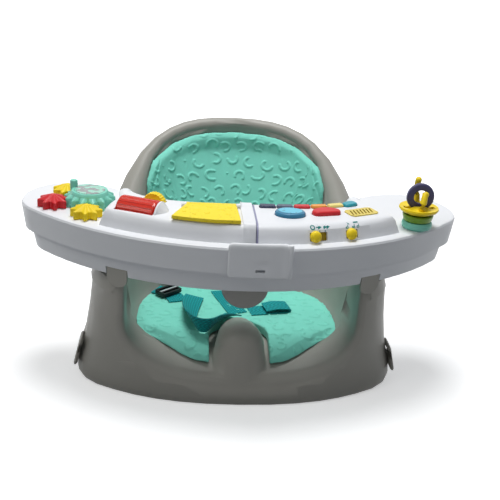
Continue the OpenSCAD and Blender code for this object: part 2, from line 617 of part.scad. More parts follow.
// One pod in the right hand's sense; the left one is mirrored, so its seam has the other sign.
module pod_body(reach, seam) difference() {
    union() {
        skin([for (p = [[pod_z, pod_taper], [deck_z - 5, 0.4], [deck_z - 3.4, 0.2], [deck_z - 1.2, 1.4], [deck_z, 4]])
            lift(inset(half_outline, p[1]), p[0])], true);
        skin(concat([lift(podium_ring(reach, 0, 0), deck_z - 3)],
            [for (p = podium_rise) lift(podium_ring(reach, p.x, p.x / 9), deck_z + p.y * podium_h / 19)]), true);
        hull() for (k = [[139, -36], [142, -14]]) translate([k.x, k.y, deck_z - 4]) sphere(9.5, $fn = 20);
    }
    difference() {
        prism(half_outline, pod_z - 1, roof_z, pod_taper + tray_wall);
        translate([seam - 100 + tray_wall, -300, 0]) cube([100, 400, 400]);
    }
    translate([seam - 100, -300, 0]) cube([100, 400, 400]);
}
module pod_cover(seam) difference() {
    prism(half_outline, pod_z, pod_z + tray_wall, pod_taper + tray_wall + rest_gap);
    translate([seam - 100 + tray_wall + rest_gap, -300, 0]) cube([100, 400, 400]);
}

// Places on the sloped front of a raised deck: -Y points outwards, Z up the slope.
slope = atan2(podium_rise[2].x - podium_rise[0].x, podium_rise[2].y);
module on_slope(x, up) let (r = arc_r - podium_gap - up * tan(slope)) translate([0, tray_c, 0]) rotate([0, 0, asin(x / r)])
    translate([0, -r, deck_z + up]) rotate([-slope, 0, 0]) children();

// ---------------------------------------------------------------- gears

tooth_crest = 0.12;
tooth_foot = 0.29;
tooth_round = 0.033;
function pitch_r(n) = n * tooth_pitch / (2 * PI);
function polar(r, a) = [r * cos(a), r * sin(a)];
function teeth(n) = let (one = [[-tooth_foot, -tooth_in], [-tooth_crest - tooth_round, tooth_out - 0.9],
        [-tooth_crest + tooth_round, tooth_out], [tooth_crest - tooth_round, tooth_out],
        [tooth_crest + tooth_round, tooth_out - 0.9], [tooth_foot, -tooth_in]])
    [for (k = [0:n - 1], s = one) polar(pitch_r(n) + s.y, (k + s.x) * 360 / n)];
function same_angles(points, r) = [for (p = points) r * unit(p)];

gear_at = [-181, -62];
gear_reach = pitch_r(large_teeth) + pitch_r(small_teeth);
gear_turns = [193.4, 133.4, 270];       // directions to the red and the two yellow gears
gear_low = deck_z + run_gap;
post_h = gear_t - 2;
function small_at(phi) = gear_at + polar(gear_reach, phi);
module bore(h) translate([0, 0, -1]) cylinder(r = post_r + pin_gap, h = h + 1);

large_t = gear_t + 7;
disc_r = 17.5;
module gear_large() color("#86cdb8") translate([gear_at.x, gear_at.y, gear_low]) {
    t = teeth(large_teeth);
    root = pitch_r(large_teeth) - tooth_in;
    difference() {
        union() {
            skin([lift(same_angles(t, 2), 0), lift(t, 0), lift(t, gear_t), lift(same_angles(t, root - 0.8), gear_t + 3),
                lift(same_angles(t, root - 2.5), large_t)]);
            translate(concat(polar(disc_r + 4.2, 150), [gear_t])) {
                cylinder(r = 3.75, h = large_t - gear_t + 5);
                translate([0, 0, large_t - gear_t + 5]) sphere(3.75, $fn = 24);
            }
        }
        bore(post_h + 0.3);
        translate([0, 0, large_t - 0.6]) cylinder(r = disc_r + 0.2, h = 2);
    }
}
module gear_disc() color("#8d9694") translate([gear_at.x, gear_at.y, gear_low + large_t - 0.6]) cylinder(r = disc_r, h = 0.9);
module small_gear(phi) translate(concat(small_at(phi), [gear_low]))
    rotate([0, 0, phi + 180 + 180 / small_teeth + phi * large_teeth / small_teeth]) difference() {
        t = teeth(small_teeth);
        skin([lift(same_angles(t, 2), 0), lift(t, 0), lift(t, gear_t - 2), lift(same_angles(t, 2.6), gear_t + 3.5)]);
        bore(post_h + 0.3);
    }
module gear_red() color(red) small_gear(gear_turns[0]);
module gear_yellow_back() color(yellow) small_gear(gear_turns[1]);
module gear_yellow_front() color(yellow) small_gear(gear_turns[2]);
module gear_posts() color(white) for (p = concat([gear_at], [for (phi = gear_turns) small_at(phi)]))
    translate([p.x, p.y, deck_z]) cylinder(r = post_r, h = run_gap + post_h);

// ---------------------------------------------------------------- roller and ridged wheel

roller_at = [-121, -120];
roller_turn = -asin(121 / (arc_r - 30));
roller_z = top_z - 7;
axle_r = 2.5;
module at_roller() translate([roller_at.x, roller_at.y, roller_z]) rotate([0, 0, roller_turn]) rotate([0, 90, 0]) children();
module roller_drum() color(red) at_roller() translate([0, 0, -roller_l / 2]) rotate_extrude() {
    in = axle_r + pin_gap;
    polygon([[in, 0], [roller_r - 1.5, 0], [roller_r, 1.5], [roller_r, roller_l - 1.5], [roller_r - 1.5, roller_l], [in, roller_l],
        [in, roller_l - 2.5], [roller_r - 2.2, roller_l - 2.5], [roller_r - 2.2, 2.5], [in, 2.5]]);
}
bead_r = 3;
module roller_beads() color(yellow) at_roller() for (k = [0:6])
    translate([(roller_r - 2.2 - bead_r - 0.2) * cos(k * 34 - 90 + 102), (roller_r - 2.2 - bead_r - 0.2) * sin(k * 34 - 90 + 102),
        -roller_l / 2 + 6.5 + k * 5.4]) sphere(bead_r, $fn = 8);
module roller_axle() color("#b9bcc0") at_roller() cylinder(r = axle_r, h = roller_l + 8, center = true);

wheel_at = [-105, -96];
wheel_z = top_z - 3.5;
wheel_axle_r = 2;
module at_wheel() translate([wheel_at.x, wheel_at.y, wheel_z]) rotate([0, 0, roller_turn]) rotate([90, 0, 0]) children();
module ridged_wheel() color(yellow) at_wheel() difference() {
    linear_extrude(wheel_t, center = true) polygon([for (k = [0:47]) polar(wheel_r - (k % 2) * 0.9, k * 7.5)]);
    cylinder(r = wheel_axle_r + pin_gap, h = wheel_t + 2, center = true);
}
module wheel_axle() color("#b9bcc0") at_wheel() cylinder(r = wheel_axle_r, h = wheel_t + 5, center = true);

// ---------------------------------------------------------------- flap

flap_x = -41;                           // middle of the hinge
flap_y = -111;
flap_pin_r = 1.6;
knuckle_r = 3.3;
pin_z = top_z + 1.5;
flap_left = flap_x - flap_w / 2;
flap_right = flap_x + flap_w / 2;
module flap() color(yellow) {
    edge = [for (x = [flap_left - 15:5:flap_right + 2]) [x, max(flap_y - flap_d, tray_c - sqrt(pow(arc_r - podium_gap - 16, 2) - x * x))]];
    translate([0, 0, top_z + run_gap]) linear_extrude(flap_t)
        polygon(concat([[flap_left, flap_y - knuckle_r + 0.5]], edge, [[flap_right, flap_y - knuckle_r + 0.5]]));
    difference() {
        union() {
            translate([flap_left, flap_y, pin_z]) rotate([0, 90, 0]) cylinder(r = knuckle_r, h = flap_w);
            translate([flap_left, flap_y - knuckle_r, top_z + run_gap]) cube([flap_w, knuckle_r, flap_t]);
        }
        translate([flap_left - 1, flap_y, pin_z]) rotate([0, 90, 0]) cylinder(r = flap_pin_r + pin_gap, h = flap_w + 2);
    }
}
module flap_pin() color("#b9bcc0") translate([flap_left - 5, flap_y, pin_z]) rotate([0, 90, 0]) cylinder(r = flap_pin_r, h = flap_w + 10);
mirror_w = 40;
module flap_mirror() color("#c8d4dc") translate([flap_x - 3, flap_y - 26, top_z - 3]) rounded_box([mirror_w, 28, 1.6], 6);

module pod_left() color(white) difference() {
    union() {
        mirror([1, 0, 0]) pod_body(podium_reach[0], -seam_left);
        // end housing beside the roller
        at_roller() hull() {
            translate([0, 0, roller_l / 2 + 1]) cylinder(r = roller_r - 0.5, h = 2);
            translate([3, 0, roller_l / 2 + 6]) sphere(11, $fn = 24);
        }
        // ears that hold the flap's pin
        for (x = [flap_left - 5.5, flap_right + 0.4]) hull() {
            translate([x, flap_y, pin_z]) rotate([0, 90, 0]) cylinder(r = knuckle_r, h = 5.1, $fn = 24);
            translate([x, flap_y - knuckle_r, top_z - 4]) cube([5.1, 2 * knuckle_r, 4]);
        }
        // rib that the front clip snaps over
        rotate_about_arc(clip_from + 1.6, arc_r + 0.2) cylinder(r = 1.2, h = 20, $fn = 16);
    }
    at_roller() {
        cylinder(r = roller_r + 2 * run_gap, h = roller_l + 2 * run_gap, center = true, $fn = 48);
        cylinder(r = axle_r + 0.1, h = roller_l + 10, center = true, $fn = 32);
    }
    at_wheel() {
        cylinder(r = wheel_r + 2 * run_gap, h = wheel_t + 2 * run_gap, center = true);
        cylinder(r = wheel_axle_r + 0.1, h = wheel_t + 7, center = true, $fn = 32);
    }
    translate([flap_left - 6.5, flap_y, pin_z]) rotate([0, 90, 0]) cylinder(r = flap_pin_r + 0.1, h = flap_w + 13, $fn = 32);
    translate([flap_left - run_gap, flap_y - knuckle_r - 1, pin_z - knuckle_r - run_gap]) cube([flap_w + 2 * run_gap, 2 * knuckle_r + 3, 9]);
    translate([flap_x - 3, flap_y - 26, top_z - 3]) rounded_box([mirror_w + 0.6, 28.6, 9], 6.3);
    for (k = [0:4]) mirror([1, 0, 0]) let (a = arc_point(arc_r - 24, 4 + 6.5 * k), b = belly_point(-85 + 14 * k, 12))
        rib(a, b, roof_z - 1, roof_z + 2);
}
module pod_left_cover() color(white) mirror([1, 0, 0]) pod_cover(-seam_left);

// ---------------------------------------------------------------- front clip

clip_r = arc_r + 0.4;
clip_mid = 11;
clip_from = asin((clip_mid - clip_w / 2) / clip_r);
clip_to = asin((clip_mid + clip_w / 2 - 4) / clip_r);
clip_low = pod_z - 2;
clip_high = deck_z + clip_over;
clip_pin_r = 1.4;
clip_knuckle = 3.2;
clip_lugs = [[pod_z + 4, 5.2], [deck_z - 7, 5.2]];
module rotate_about_arc(a, r) translate([0, tray_c, pod_z + 6]) rotate([0, 0, a]) translate([0, -r, 0]) children();
module at_clip_pin() translate([0, tray_c, 0]) rotate([0, 0, clip_to]) translate([0, -clip_r - clip_knuckle - 0.15, 0]) children();
clip_step_x = 17.4;                     // the raised part of the plate ends here
clip_step = 0.6;
clip_slot = [5.8, 10.4, 3.4];           // left end, length and height of the slot
function arc_at(r, a) = [r * sin(a), tray_c - r * cos(a)];
function clip_outline() = let (a = asin(clip_step_x / clip_r), r = clip_r + clip_t - 1, k = 10) concat(
    [for (i = [0:k]) arc_at(r + clip_step, mix(clip_from, a, i / k))],
    [for (i = [0:k]) arc_at(r, mix(a + 0.1, clip_to, i / k))],
    [for (i = [2 * k:-1:0]) arc_at(clip_r, mix(clip_from, clip_to, i / (2 * k)))]);
module front_clip() color(white) difference() {
    translate([0, 0, clip_low]) linear_extrude(clip_high - clip_low) difference() {
        union() {
            polygon(clip_outline());
            translate(arc_at(clip_r + clip_knuckle + 0.15, clip_to)) circle(clip_knuckle);
        }
        translate(arc_at(clip_r + clip_knuckle + 0.15, clip_to)) circle(clip_pin_r + pin_gap);
        translate(arc_at(arc_r + 0.2, clip_from + 1.6)) circle(1.7);
    }
    for (l = clip_lugs) at_clip_pin() translate([-clip_knuckle - 2.5, -clip_knuckle - 4, l[0] - run_gap])
        cube([2 * clip_knuckle + 6, 2 * clip_knuckle + 12, l[1] + 2 * run_gap]);
    translate([clip_slot[0], -arc_r, pod_z + 7.5]) cube([clip_slot[1], arc_r, clip_slot[2]]);
}
module clip_pin() color("#b9bcc0") at_clip_pin() translate([0, 0, clip_low + 1]) cylinder(r = clip_pin_r, h = clip_high - clip_low - 2);

// ---------------------------------------------------------------- keys, buttons, switches

key_rise = 2.6;
key_in = 5;
key_step = key_l + 2 * key_gap + 0.4;
function key_x(k) = seam_right + 8 + key_l / 2 + k * key_step;
function belly_turn(x, grow) = atan2(belly_line(x + 1, grow) - belly_line(x - 1, grow), 2);
key_grow = 4.5 + key_d / 2;
module at_key(k) translate([key_x(k), belly_line(key_x(k), key_grow), top_z]) rotate([0, 0, belly_turn(key_x(k), key_grow)]) children();
module at_teal() translate([key_x(5) - 2, belly_line(key_x(5) - 2, key_grow + 2), top_z])
    rotate([0, 0, belly_turn(key_x(5) - 2, key_grow + 2)]) children();
module key(k) at_key(k) translate([0, 0, -key_in]) {
    rounded_box([key_l, key_d, key_in + key_rise - 1], 2);
    rounded_box([key_l - 1.2, key_d - 1.2, key_in + key_rise], 1.6);
}
module key_navy() color("#26386b") key(0);
module key_slate() color("#3f4a5c") key(1);
module key_red() color("#c8323a") key(2);
module key_orange() color("#e0923a") key(3);
module key_yellow() color("#e6d26a") key(4);

function oval_outline(half_x, half_y, power = 2) = [for (i = [0:23]) oval_point(i * 15, half_x, half_y, half_y, 0, power, power)];
module domed(outline, low, high) skin(concat([lift(outline, low)],
    [for (a = [0, 40, 90]) lift([for (p = outline) p * (0.78 + 0.22 * cos(a))], high - 2.6 + 2.6 * sin(a))]));
blue_at = [47, -128];
red_at = [89, -121];
red_turn = 14;
blue_half = [17.5, 13.5];
red_half = [17, 11.5];
teal_half = [9.5, 6];
function half_moon(grow) = [for (p = oval_outline(red_half.x + grow, red_half.y + grow)) [p.x, max(p.y, -red_half.y * 0.62 - grow)]];
module button_blue() color("#2f9cc0") translate([blue_at.x, blue_at.y, top_z]) domed(oval_outline(blue_half.x, blue_half.y), -key_in, 5);
module button_red() color(red) translate([red_at.x, red_at.y, top_z]) rotate([0, 0, red_turn]) domed(half_moon(0), -key_in, 5);
module button_teal() color("#3fa8a8") at_teal() domed(oval_outline(teal_half.x, teal_half.y, 3), -key_in, 3.4);

grille_at = [131, -112];
grille_turn = 25;
grille = [37, 21];
grille_t = 2.4;
module at_grille() translate([grille_at.x, grille_at.y, top_z]) rotate([0, 0, grille_turn]) children();
module speaker_grille() color("#d9c65a") at_grille() translate([0, 0, -grille_t - 0.3]) difference() {
    union() {
        rounded_box([grille.x, grille.y, grille_t + 1.5], 5);
    }
    for (k = [-3:3]) translate([k * 4.4, 0, -1]) rotate([0, 0, -18]) translate([-0.9, -7, 0]) cube([1.8, 14, grille_t + 4]);
}
speaker_r = 10.5;
module speaker() color("#2a2c30") at_grille() translate([0, 0, -grille_t - 0.3 - 2 - rest_gap - 12]) difference() {
    union() {
        cylinder(r = speaker_r - 3, h = 5);
        translate([0, 0, 5]) cylinder(r1 = speaker_r - 3, r2 = speaker_r, h = 4);
        translate([0, 0, 9]) cylinder(r = speaker_r, h = 3);
    }
    translate([0, 0, 8]) cylinder(r1 = 2.5, r2 = speaker_r - 1, h = 4.5);
}

switch_up = 7;
switch_x = [75.5, 114.5];
switch_w = [21, 15];
knob_x = [71.8, 113.6];
switch_recess = 5;
module switch_cut(k) on_slope(switch_x[k], switch_up) translate([0, 2, 0]) rotate([90, 0, 0])
    translate([0, 0, -switch_recess]) linear_extrude(switch_recess + 6) hull() for (x = [-1, 1], y = [-1, 1])
        translate([x * (switch_w[k] / 2 - 1.2), y * 3.6]) circle(1.2);
module knob(k) on_slope(knob_x[k], switch_up) rotate([90, 0, 0]) {
    translate([-2.5, -2.5, -switch_recess + 1]) cube([5, 5, switch_recess + 1]);
    translate([0, 0, 0.5]) cylinder(r = knob_r, h = 2.2);
    translate([0, 0, 2.7]) cylinder(r1 = knob_r, r2 = knob_r - 1.6, h = 1.4);
}
module switch_volume() color(yellow) knob(0);
module switch_mode() color(yellow) knob(1);

// ---------------------------------------------------------------- spinner

spin_at = [200, -103];
base_h = 8.6;
green_h = 8.2;
saucer_h = 9;
green_z = deck_z + rest_gap + base_h + run_gap;
saucer_z = green_z + green_h + run_gap;
module at_spin(z) translate([spin_at.x, spin_at.y, z]) children();
module spinner_post() color(white) at_spin(deck_z) cylinder(r = post_r, h = saucer_z - deck_z + 3);
module spinner_base() color("#6fbfa8") at_spin(deck_z + rest_gap) rotate_extrude() translate([post_r + pin_gap, 0])
    polygon([[0, 0], [ring_r - post_r - 2.5, 0], [ring_r - post_r - 0.8, 1.6], [ring_r - post_r - 0.8, base_h - 1.6],
        [ring_r - post_r - 2.5, base_h], [0, base_h]]);
module spinner_green() color("#7c9a22") at_spin(green_z) rotate_extrude() translate([post_r + pin_gap, 0])
    polygon([[0, 0], [ring_r - post_r - 3, 0], [ring_r - post_r - 0.5, green_h * 0.45], [ring_r - post_r + 1, green_h * 0.7],
        [ring_r - post_r, green_h], [0, green_h]]);
hoop_z = saucer_z + saucer_h + 11;
hoop_hole = 8;
hoop_t = 6;
arm_r = 3.2;
module spinner_saucer() color(yellow) at_spin(saucer_z) {
    difference() {
        union() {
            rotate_extrude() polygon([[0, 0], [ring_r - 1, 0], [saucer_r - 2, 3.5], [saucer_r, 6], [saucer_r - 0.6, 8], [saucer_r - 3, 7.6],
                [ring_r, 6.4], [7, saucer_h], [0, saucer_h]]);
            translate([0, -saucer_r * 0.5, saucer_h * 0.6]) tube([[0, 2, 0], [0.5, -1, 5], [1, -1, 10], [2, 2, 15], [3, 6, 18], [3.5, 9.4, 18.5]],
                [for (k = [0:5]) arm_r - 0.12 * k], 12);
            translate([0, saucer_r * 0.5, saucer_h * 0.6]) tube([[0, -2, 0], [-0.5, 0, 6], [-1, 1.4, 14], [-1.5, 1.6, 22], [-2, -0.6, 29], [-2.4, -3.6, 33]],
                [for (k = [0:5]) arm_r - 0.1 * k], 12);
        }
        translate([0, 0, -1]) cylinder(r = post_r + pin_gap, h = 6.3);
        translate([-hoop_r - 2, -hoop_t / 2 - run_gap, hoop_z - saucer_z - sqrt(pow(hoop_r + run_gap, 2) - 4)])
            cube([2 * hoop_r + 4, hoop_t + 2 * run_gap, 20]);
    }
}
module spinner_hoop() color("#3c375f") at_spin(hoop_z) rotate([90, 0, 0]) rotate_extrude($fn = 36)
    polygon([[hoop_hole, -hoop_t / 2 + 1], [hoop_hole + 1, -hoop_t / 2], [hoop_r - 1.4, -hoop_t / 2], [hoop_r, -hoop_t / 2 + 1.4],
        [hoop_r, hoop_t / 2 - 1.4], [hoop_r - 1.4, hoop_t / 2], [hoop_hole + 1, hoop_t / 2], [hoop_hole, hoop_t / 2 - 1]]);

// ---------------------------------------------------------------- right pod and what is under it

board = [70, 34, 1.6];
board_at = [70, -130];
board_z = roof_z - 10;
door = [54, 34];
door_at = [186, -62];
module pod_right() color(white) difference() {
    union() {
        difference() {
            pod_body(podium_reach[1], seam_right);
            for (k = [0:4]) at_key(k) translate([0, 0, -key_in - press - 0.6])
                rounded_box([key_l + 2 * key_gap, key_d + 2 * key_gap, 20], 2 + key_gap);
            at_teal() translate([0, 0, -key_in - press - 0.6]) linear_extrude(20) polygon(oval_outline(teal_half.x + key_gap, teal_half.y + key_gap, 3));
            translate([blue_at.x, blue_at.y, top_z - key_in - press - 0.6]) linear_extrude(20)
                polygon(oval_outline(blue_half.x + key_gap, blue_half.y + key_gap));
            translate([red_at.x, red_at.y, top_z - key_in - press - 0.6]) rotate([0, 0, red_turn]) linear_extrude(20) polygon(half_moon(key_gap));
            at_grille() {
                translate([0, 0, -grille_t - 0.3]) rounded_box([grille.x + 0.6, grille.y + 0.6, 20], 5.3);
                translate([0, 0, -grille_t - 2.3]) rounded_box([grille.x - 5, grille.y - 4, 10], 4);
                translate([0, 0, roof_z - top_z - 1]) cylinder(r = speaker_r + 0.4, h = top_z - roof_z - grille_t);
            }
            for (k = [0, 1]) switch_cut(k);
        }
        for (l = clip_lugs) hull() {
            at_clip_pin() translate([0, 0, l[0]]) cylinder(r = clip_knuckle, h = l[1], $fn = 24);
            at_clip_pin() translate([-clip_knuckle, 12, l[0]]) cube([2 * clip_knuckle, 1, l[1]]);
        }
        for (x = [-1, 1], y = [-1, 1]) translate([board_at.x + x * (board.x / 2 - 4), board_at.y + y * (board.y / 2 - 4), board_z + board.z])
            cylinder(r = 3, h = roof_z - board_z - board.z + 1, $fn = 20);
    }
    at_clip_pin() translate([0, 0, clip_low]) cylinder(r = clip_pin_r + 0.08, h = clip_high - clip_low, $fn = 32);
}
module circuit_board() color("#2c6a48") translate([board_at.x, board_at.y, board_z + board.z / 2]) cube(board, center = true);
module pod_right_cover() color(white) difference() {
    pod_cover(seam_right);
    translate([door_at.x - door.x / 2, door_at.y - door.y / 2, pod_z - 1]) cube([door.x, door.y, 10]);
}
module battery_door() color(white) translate([door_at.x, door_at.y, pod_z]) {
    translate([-door.x / 2 + 0.3, -door.y / 2 + 0.3, 0]) cube([door.x - 0.6, door.y - 0.6, tray_wall + rest_gap]);
    for (x = [-1, 1]) translate([x * (door.x / 2 - 1) - 3, -8, tray_wall + rest_gap]) cube([6, 16, 1.4]);
}

seat_shell();
foot_front_left();
foot_front_right();
foot_back_left();
foot_back_right();
seat_pad();
back_pad();
crotch_strap();
waist_strap_left();
waist_strap_right();
strap_end();
buckle_body();
buckle_tongue();
strap_adjuster();
tray();
tray_tab();
release_tab_left();
release_tab_right();
pod_left();
pod_left_cover();
gear_posts();
gear_large();
gear_disc();
gear_red();
gear_yellow_back();
gear_yellow_front();
roller_drum();
roller_beads();
roller_axle();
ridged_wheel();
wheel_axle();
flap();
flap_pin();
flap_mirror();
pod_right();
pod_right_cover();
front_clip();
clip_pin();
key_navy();
key_slate();
key_red();
key_orange();
key_yellow();
button_blue();
button_red();
button_teal();
speaker_grille();
speaker();
circuit_board();
switch_volume();
switch_mode();
spinner_post();
spinner_base();
spinner_green();
spinner_saucer();
spinner_hoop();
battery_door();
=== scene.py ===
"""Looks of a baby floor seat with a clip-on toy tray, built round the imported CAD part.

Metres, +Z up, front towards -Y. Sizes given in millimetres say so in their names.
"""
import logging
import math
from dataclasses import dataclass
from enum import Enum
from typing import Callable, Iterable, Sequence

import bmesh
import bpy
import numpy as np
from mathutils import Matrix, Vector
from mathutils.bvhtree import BVHTree


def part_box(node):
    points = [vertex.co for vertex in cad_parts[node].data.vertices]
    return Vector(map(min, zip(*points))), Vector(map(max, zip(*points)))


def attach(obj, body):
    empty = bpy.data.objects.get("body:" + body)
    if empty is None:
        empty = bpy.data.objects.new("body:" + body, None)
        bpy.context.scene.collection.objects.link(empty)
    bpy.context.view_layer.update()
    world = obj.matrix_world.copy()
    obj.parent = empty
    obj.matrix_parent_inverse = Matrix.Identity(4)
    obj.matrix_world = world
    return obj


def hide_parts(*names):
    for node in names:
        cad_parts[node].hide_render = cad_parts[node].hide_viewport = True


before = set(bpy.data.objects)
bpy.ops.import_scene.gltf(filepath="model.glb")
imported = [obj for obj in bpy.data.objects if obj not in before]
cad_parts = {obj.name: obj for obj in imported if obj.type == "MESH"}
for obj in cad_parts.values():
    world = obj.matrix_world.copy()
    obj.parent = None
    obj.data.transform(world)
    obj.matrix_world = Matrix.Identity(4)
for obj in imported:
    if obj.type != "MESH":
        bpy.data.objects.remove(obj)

LOG = logging.getLogger("floor_seat")
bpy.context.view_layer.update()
MM = 0.001
# Points nearer than this are one point, in a turned shape and in a CAD node's mesh, in metres.
WELD, CAD_WELD = 1e-6, 2e-6
# Sockets of a Mix node that mixes colours, by number because their names repeat.
FIRST, SECOND, MIXED = 6, 7, 2
DOWN = Vector((0, 0, -1))


# ------------------------------------------------------------------ small helpers


def linear(hexa: str) -> tuple[float, float, float, float]:
    """Turns an sRGB hex value into linear RGBA."""
    parts = [int(hexa[i:i + 2], 16) / 255 for i in (1, 3, 5)]
    return (*(c / 12.92 if c <= 0.04045 else ((c + 0.055) / 1.055) ** 2.4 for c in parts), 1.0)


def dimmed(hexa: str, share: float) -> tuple[float, ...]:
    """A share of an sRGB hex value, as linear RGBA."""
    return (*(part * share for part in linear(hexa)[:3]), 1.0)


def feed(tree: bpy.types.NodeTree, node: bpy.types.Node, inputs: dict) -> None:
    """Links other nodes' sockets into a node, or sets its constants.

    Args:
        tree: the tree that both are in.
        node: the node.
        inputs: values or output sockets, by the input's name or number.
    """
    for key, value in inputs.items():
        if isinstance(value, bpy.types.NodeSocket):
            tree.links.new(value, node.inputs[key])
        else:
            node.inputs[key].default_value = value


def add(tree: bpy.types.NodeTree, kind: str, inputs: dict | None = None, **settings) -> bpy.types.Node:
    """Adds a shader node with its settings and links.

    Args:
        tree: the material's or world's tree.
        kind: Blender's name of the node type.
        inputs: values or other nodes' output sockets, by the input's name or number.
        settings: the node's own settings.

    Returns:
        The node.
    """
    node = tree.nodes.new(kind)
    for key, value in settings.items():
        setattr(node, key, value)
    feed(tree, node, inputs or {})
    return node


def mm(*values: float) -> Vector:
    """A point given in millimetres, in metres."""
    return Vector(values) * MM


def shift(*values: float) -> Matrix:
    """A move by x, y and z millimetres."""
    return Matrix.Translation(mm(*values))


def swing(degrees: float, axis: str) -> Matrix:
    """A turn about one of the axes."""
    return Matrix.Rotation(math.radians(degrees), 4, axis)


def put(bm: bmesh.types.BMesh, place: Matrix) -> bmesh.types.BMesh:
    """Moves a whole shape, and gives it back."""
    bmesh.ops.transform(bm, matrix=place, verts=bm.verts)
    return bm


# ------------------------------------------------------------------ finishes


@dataclass(frozen=True)
class Stuff:
    """What every finish shares: its name and the start of its material."""

    name: str

    def fresh(self) -> tuple[bpy.types.Material, bpy.types.NodeTree]:
        """Starts the material, and gives it with its tree."""
        mat = bpy.data.materials.new(self.name)
        mat.use_nodes = True
        return mat, mat.node_tree


@dataclass(frozen=True)
class MouldedPlastic(Stuff):
    """Injection-moulded ABS or polypropylene with the fine grain of a spark-eroded mould.

    The eye sees a broad soft highlight, a faint sparkle from the grain, and slightly duller patches
    where hands and flow marks have been. With pits it has small darker round dots as well.
    """

    colour: str
    roughness: float = 0.42
    grain_mm: float = 0.9
    depth_mm: float = 0.025
    mottle: float = 0.05
    coat: float = 0.0
    pits: float = 0.0
    pit_mm: float = 5.0

    def material(self) -> bpy.types.Material:
        """Makes the material."""
        mat, tree = self.fresh()
        at = add(tree, "ShaderNodeTexCoord").outputs["Object"]
        # Flow marks and handling, patches about 45 mm across.
        patch = add(tree, "ShaderNodeTexNoise", {"Vector": at, "Scale": 22.0, "Detail": 3.0}).outputs["Fac"]
        # The grain of the mould; drawn a little coarse so that it shows.
        grain = add(tree, "ShaderNodeTexNoise",
                    {"Vector": at, "Scale": 1 / (self.grain_mm * MM), "Detail": 2.0,
                     "Roughness": 0.6}).outputs["Fac"]
        colour = add(tree, "ShaderNodeMix", {"Factor": patch, FIRST: linear(self.colour),
                                             SECOND: dimmed(self.colour, 1 - 2 * self.mottle)},
                     data_type="RGBA").outputs[MIXED]
        height = grain
        if self.pits:
            # Small round dots scattered over the top.
            spots = add(tree, "ShaderNodeTexVoronoi", {"Vector": at, "Scale": 1 / (self.pit_mm * MM)})
            hole = add(tree, "ShaderNodeMapRange",
                       {"Value": spots.outputs["Distance"], "From Min": 0.1, "From Max": 0.32,
                        "To Min": 1 - self.pits, "To Max": 1.0}).outputs["Result"]
            colour = add(tree, "ShaderNodeMix", {"Factor": 1.0, FIRST: colour, SECOND: hole},
                         data_type="RGBA", blend_type="MULTIPLY").outputs[MIXED]
            height = add(tree, "ShaderNodeMath", {0: grain, 1: hole}, operation="ADD").outputs[0]
        rough = add(tree, "ShaderNodeMapRange",
                    {"Value": patch, "From Min": 0.3, "From Max": 0.7,
                     "To Min": self.roughness - 0.05, "To Max": self.roughness + 0.07})
        bump = add(tree, "ShaderNodeBump",
                   {"Height": height, "Distance": self.depth_mm * MM, "Strength": 0.7})
        feed(tree, tree.nodes["Principled BSDF"], {
            "Base Color": colour, "Roughness": rough.outputs["Result"], "Normal": bump.outputs["Normal"],
            "IOR": 1.5, "Specular IOR Level": 0.3, "Coat Weight": self.coat, "Coat Roughness": 0.2})
        return mat


@dataclass(frozen=True)
class MouldedFoam(Stuff):
    """Skinned polyurethane foam: matt, a little sheen, with the pores of the skin showing close up."""

    colour: str
    pore_mm: float = 1.1

    def material(self) -> bpy.types.Material:
        """Makes the material."""
        mat, tree = self.fresh()
        at = add(tree, "ShaderNodeTexCoord").outputs["Object"]
        # Patches about 29 mm across, round pores, and the skin's own grain of about 1.1 mm.
        patch = add(tree, "ShaderNodeTexNoise", {"Vector": at, "Scale": 35.0, "Detail": 4.0})
        pores = add(tree, "ShaderNodeTexVoronoi", {"Vector": at, "Scale": 1 / (self.pore_mm * MM)})
        skin = add(tree, "ShaderNodeTexNoise", {"Vector": at, "Scale": 900.0, "Detail": 3.0})
        tone = add(tree, "ShaderNodeMix", {"Factor": patch.outputs["Fac"], FIRST: linear(self.colour),
                                           SECOND: dimmed(self.colour, 0.86)}, data_type="RGBA")
        height = add(tree, "ShaderNodeMath", {0: pores.outputs["Distance"], 1: skin.outputs["Fac"]},
                     operation="ADD")
        bump = add(tree, "ShaderNodeBump",
                   {"Height": height.outputs[0], "Distance": 0.05 * MM, "Strength": 0.6})
        feed(tree, tree.nodes["Principled BSDF"], {
            "Base Color": tone.outputs[MIXED], "Normal": bump.outputs["Normal"], "Roughness": 0.78,
            "IOR": 1.45, "Specular IOR Level": 0.25, "Sheen Weight": 0.08, "Sheen Roughness": 0.5})
        return mat


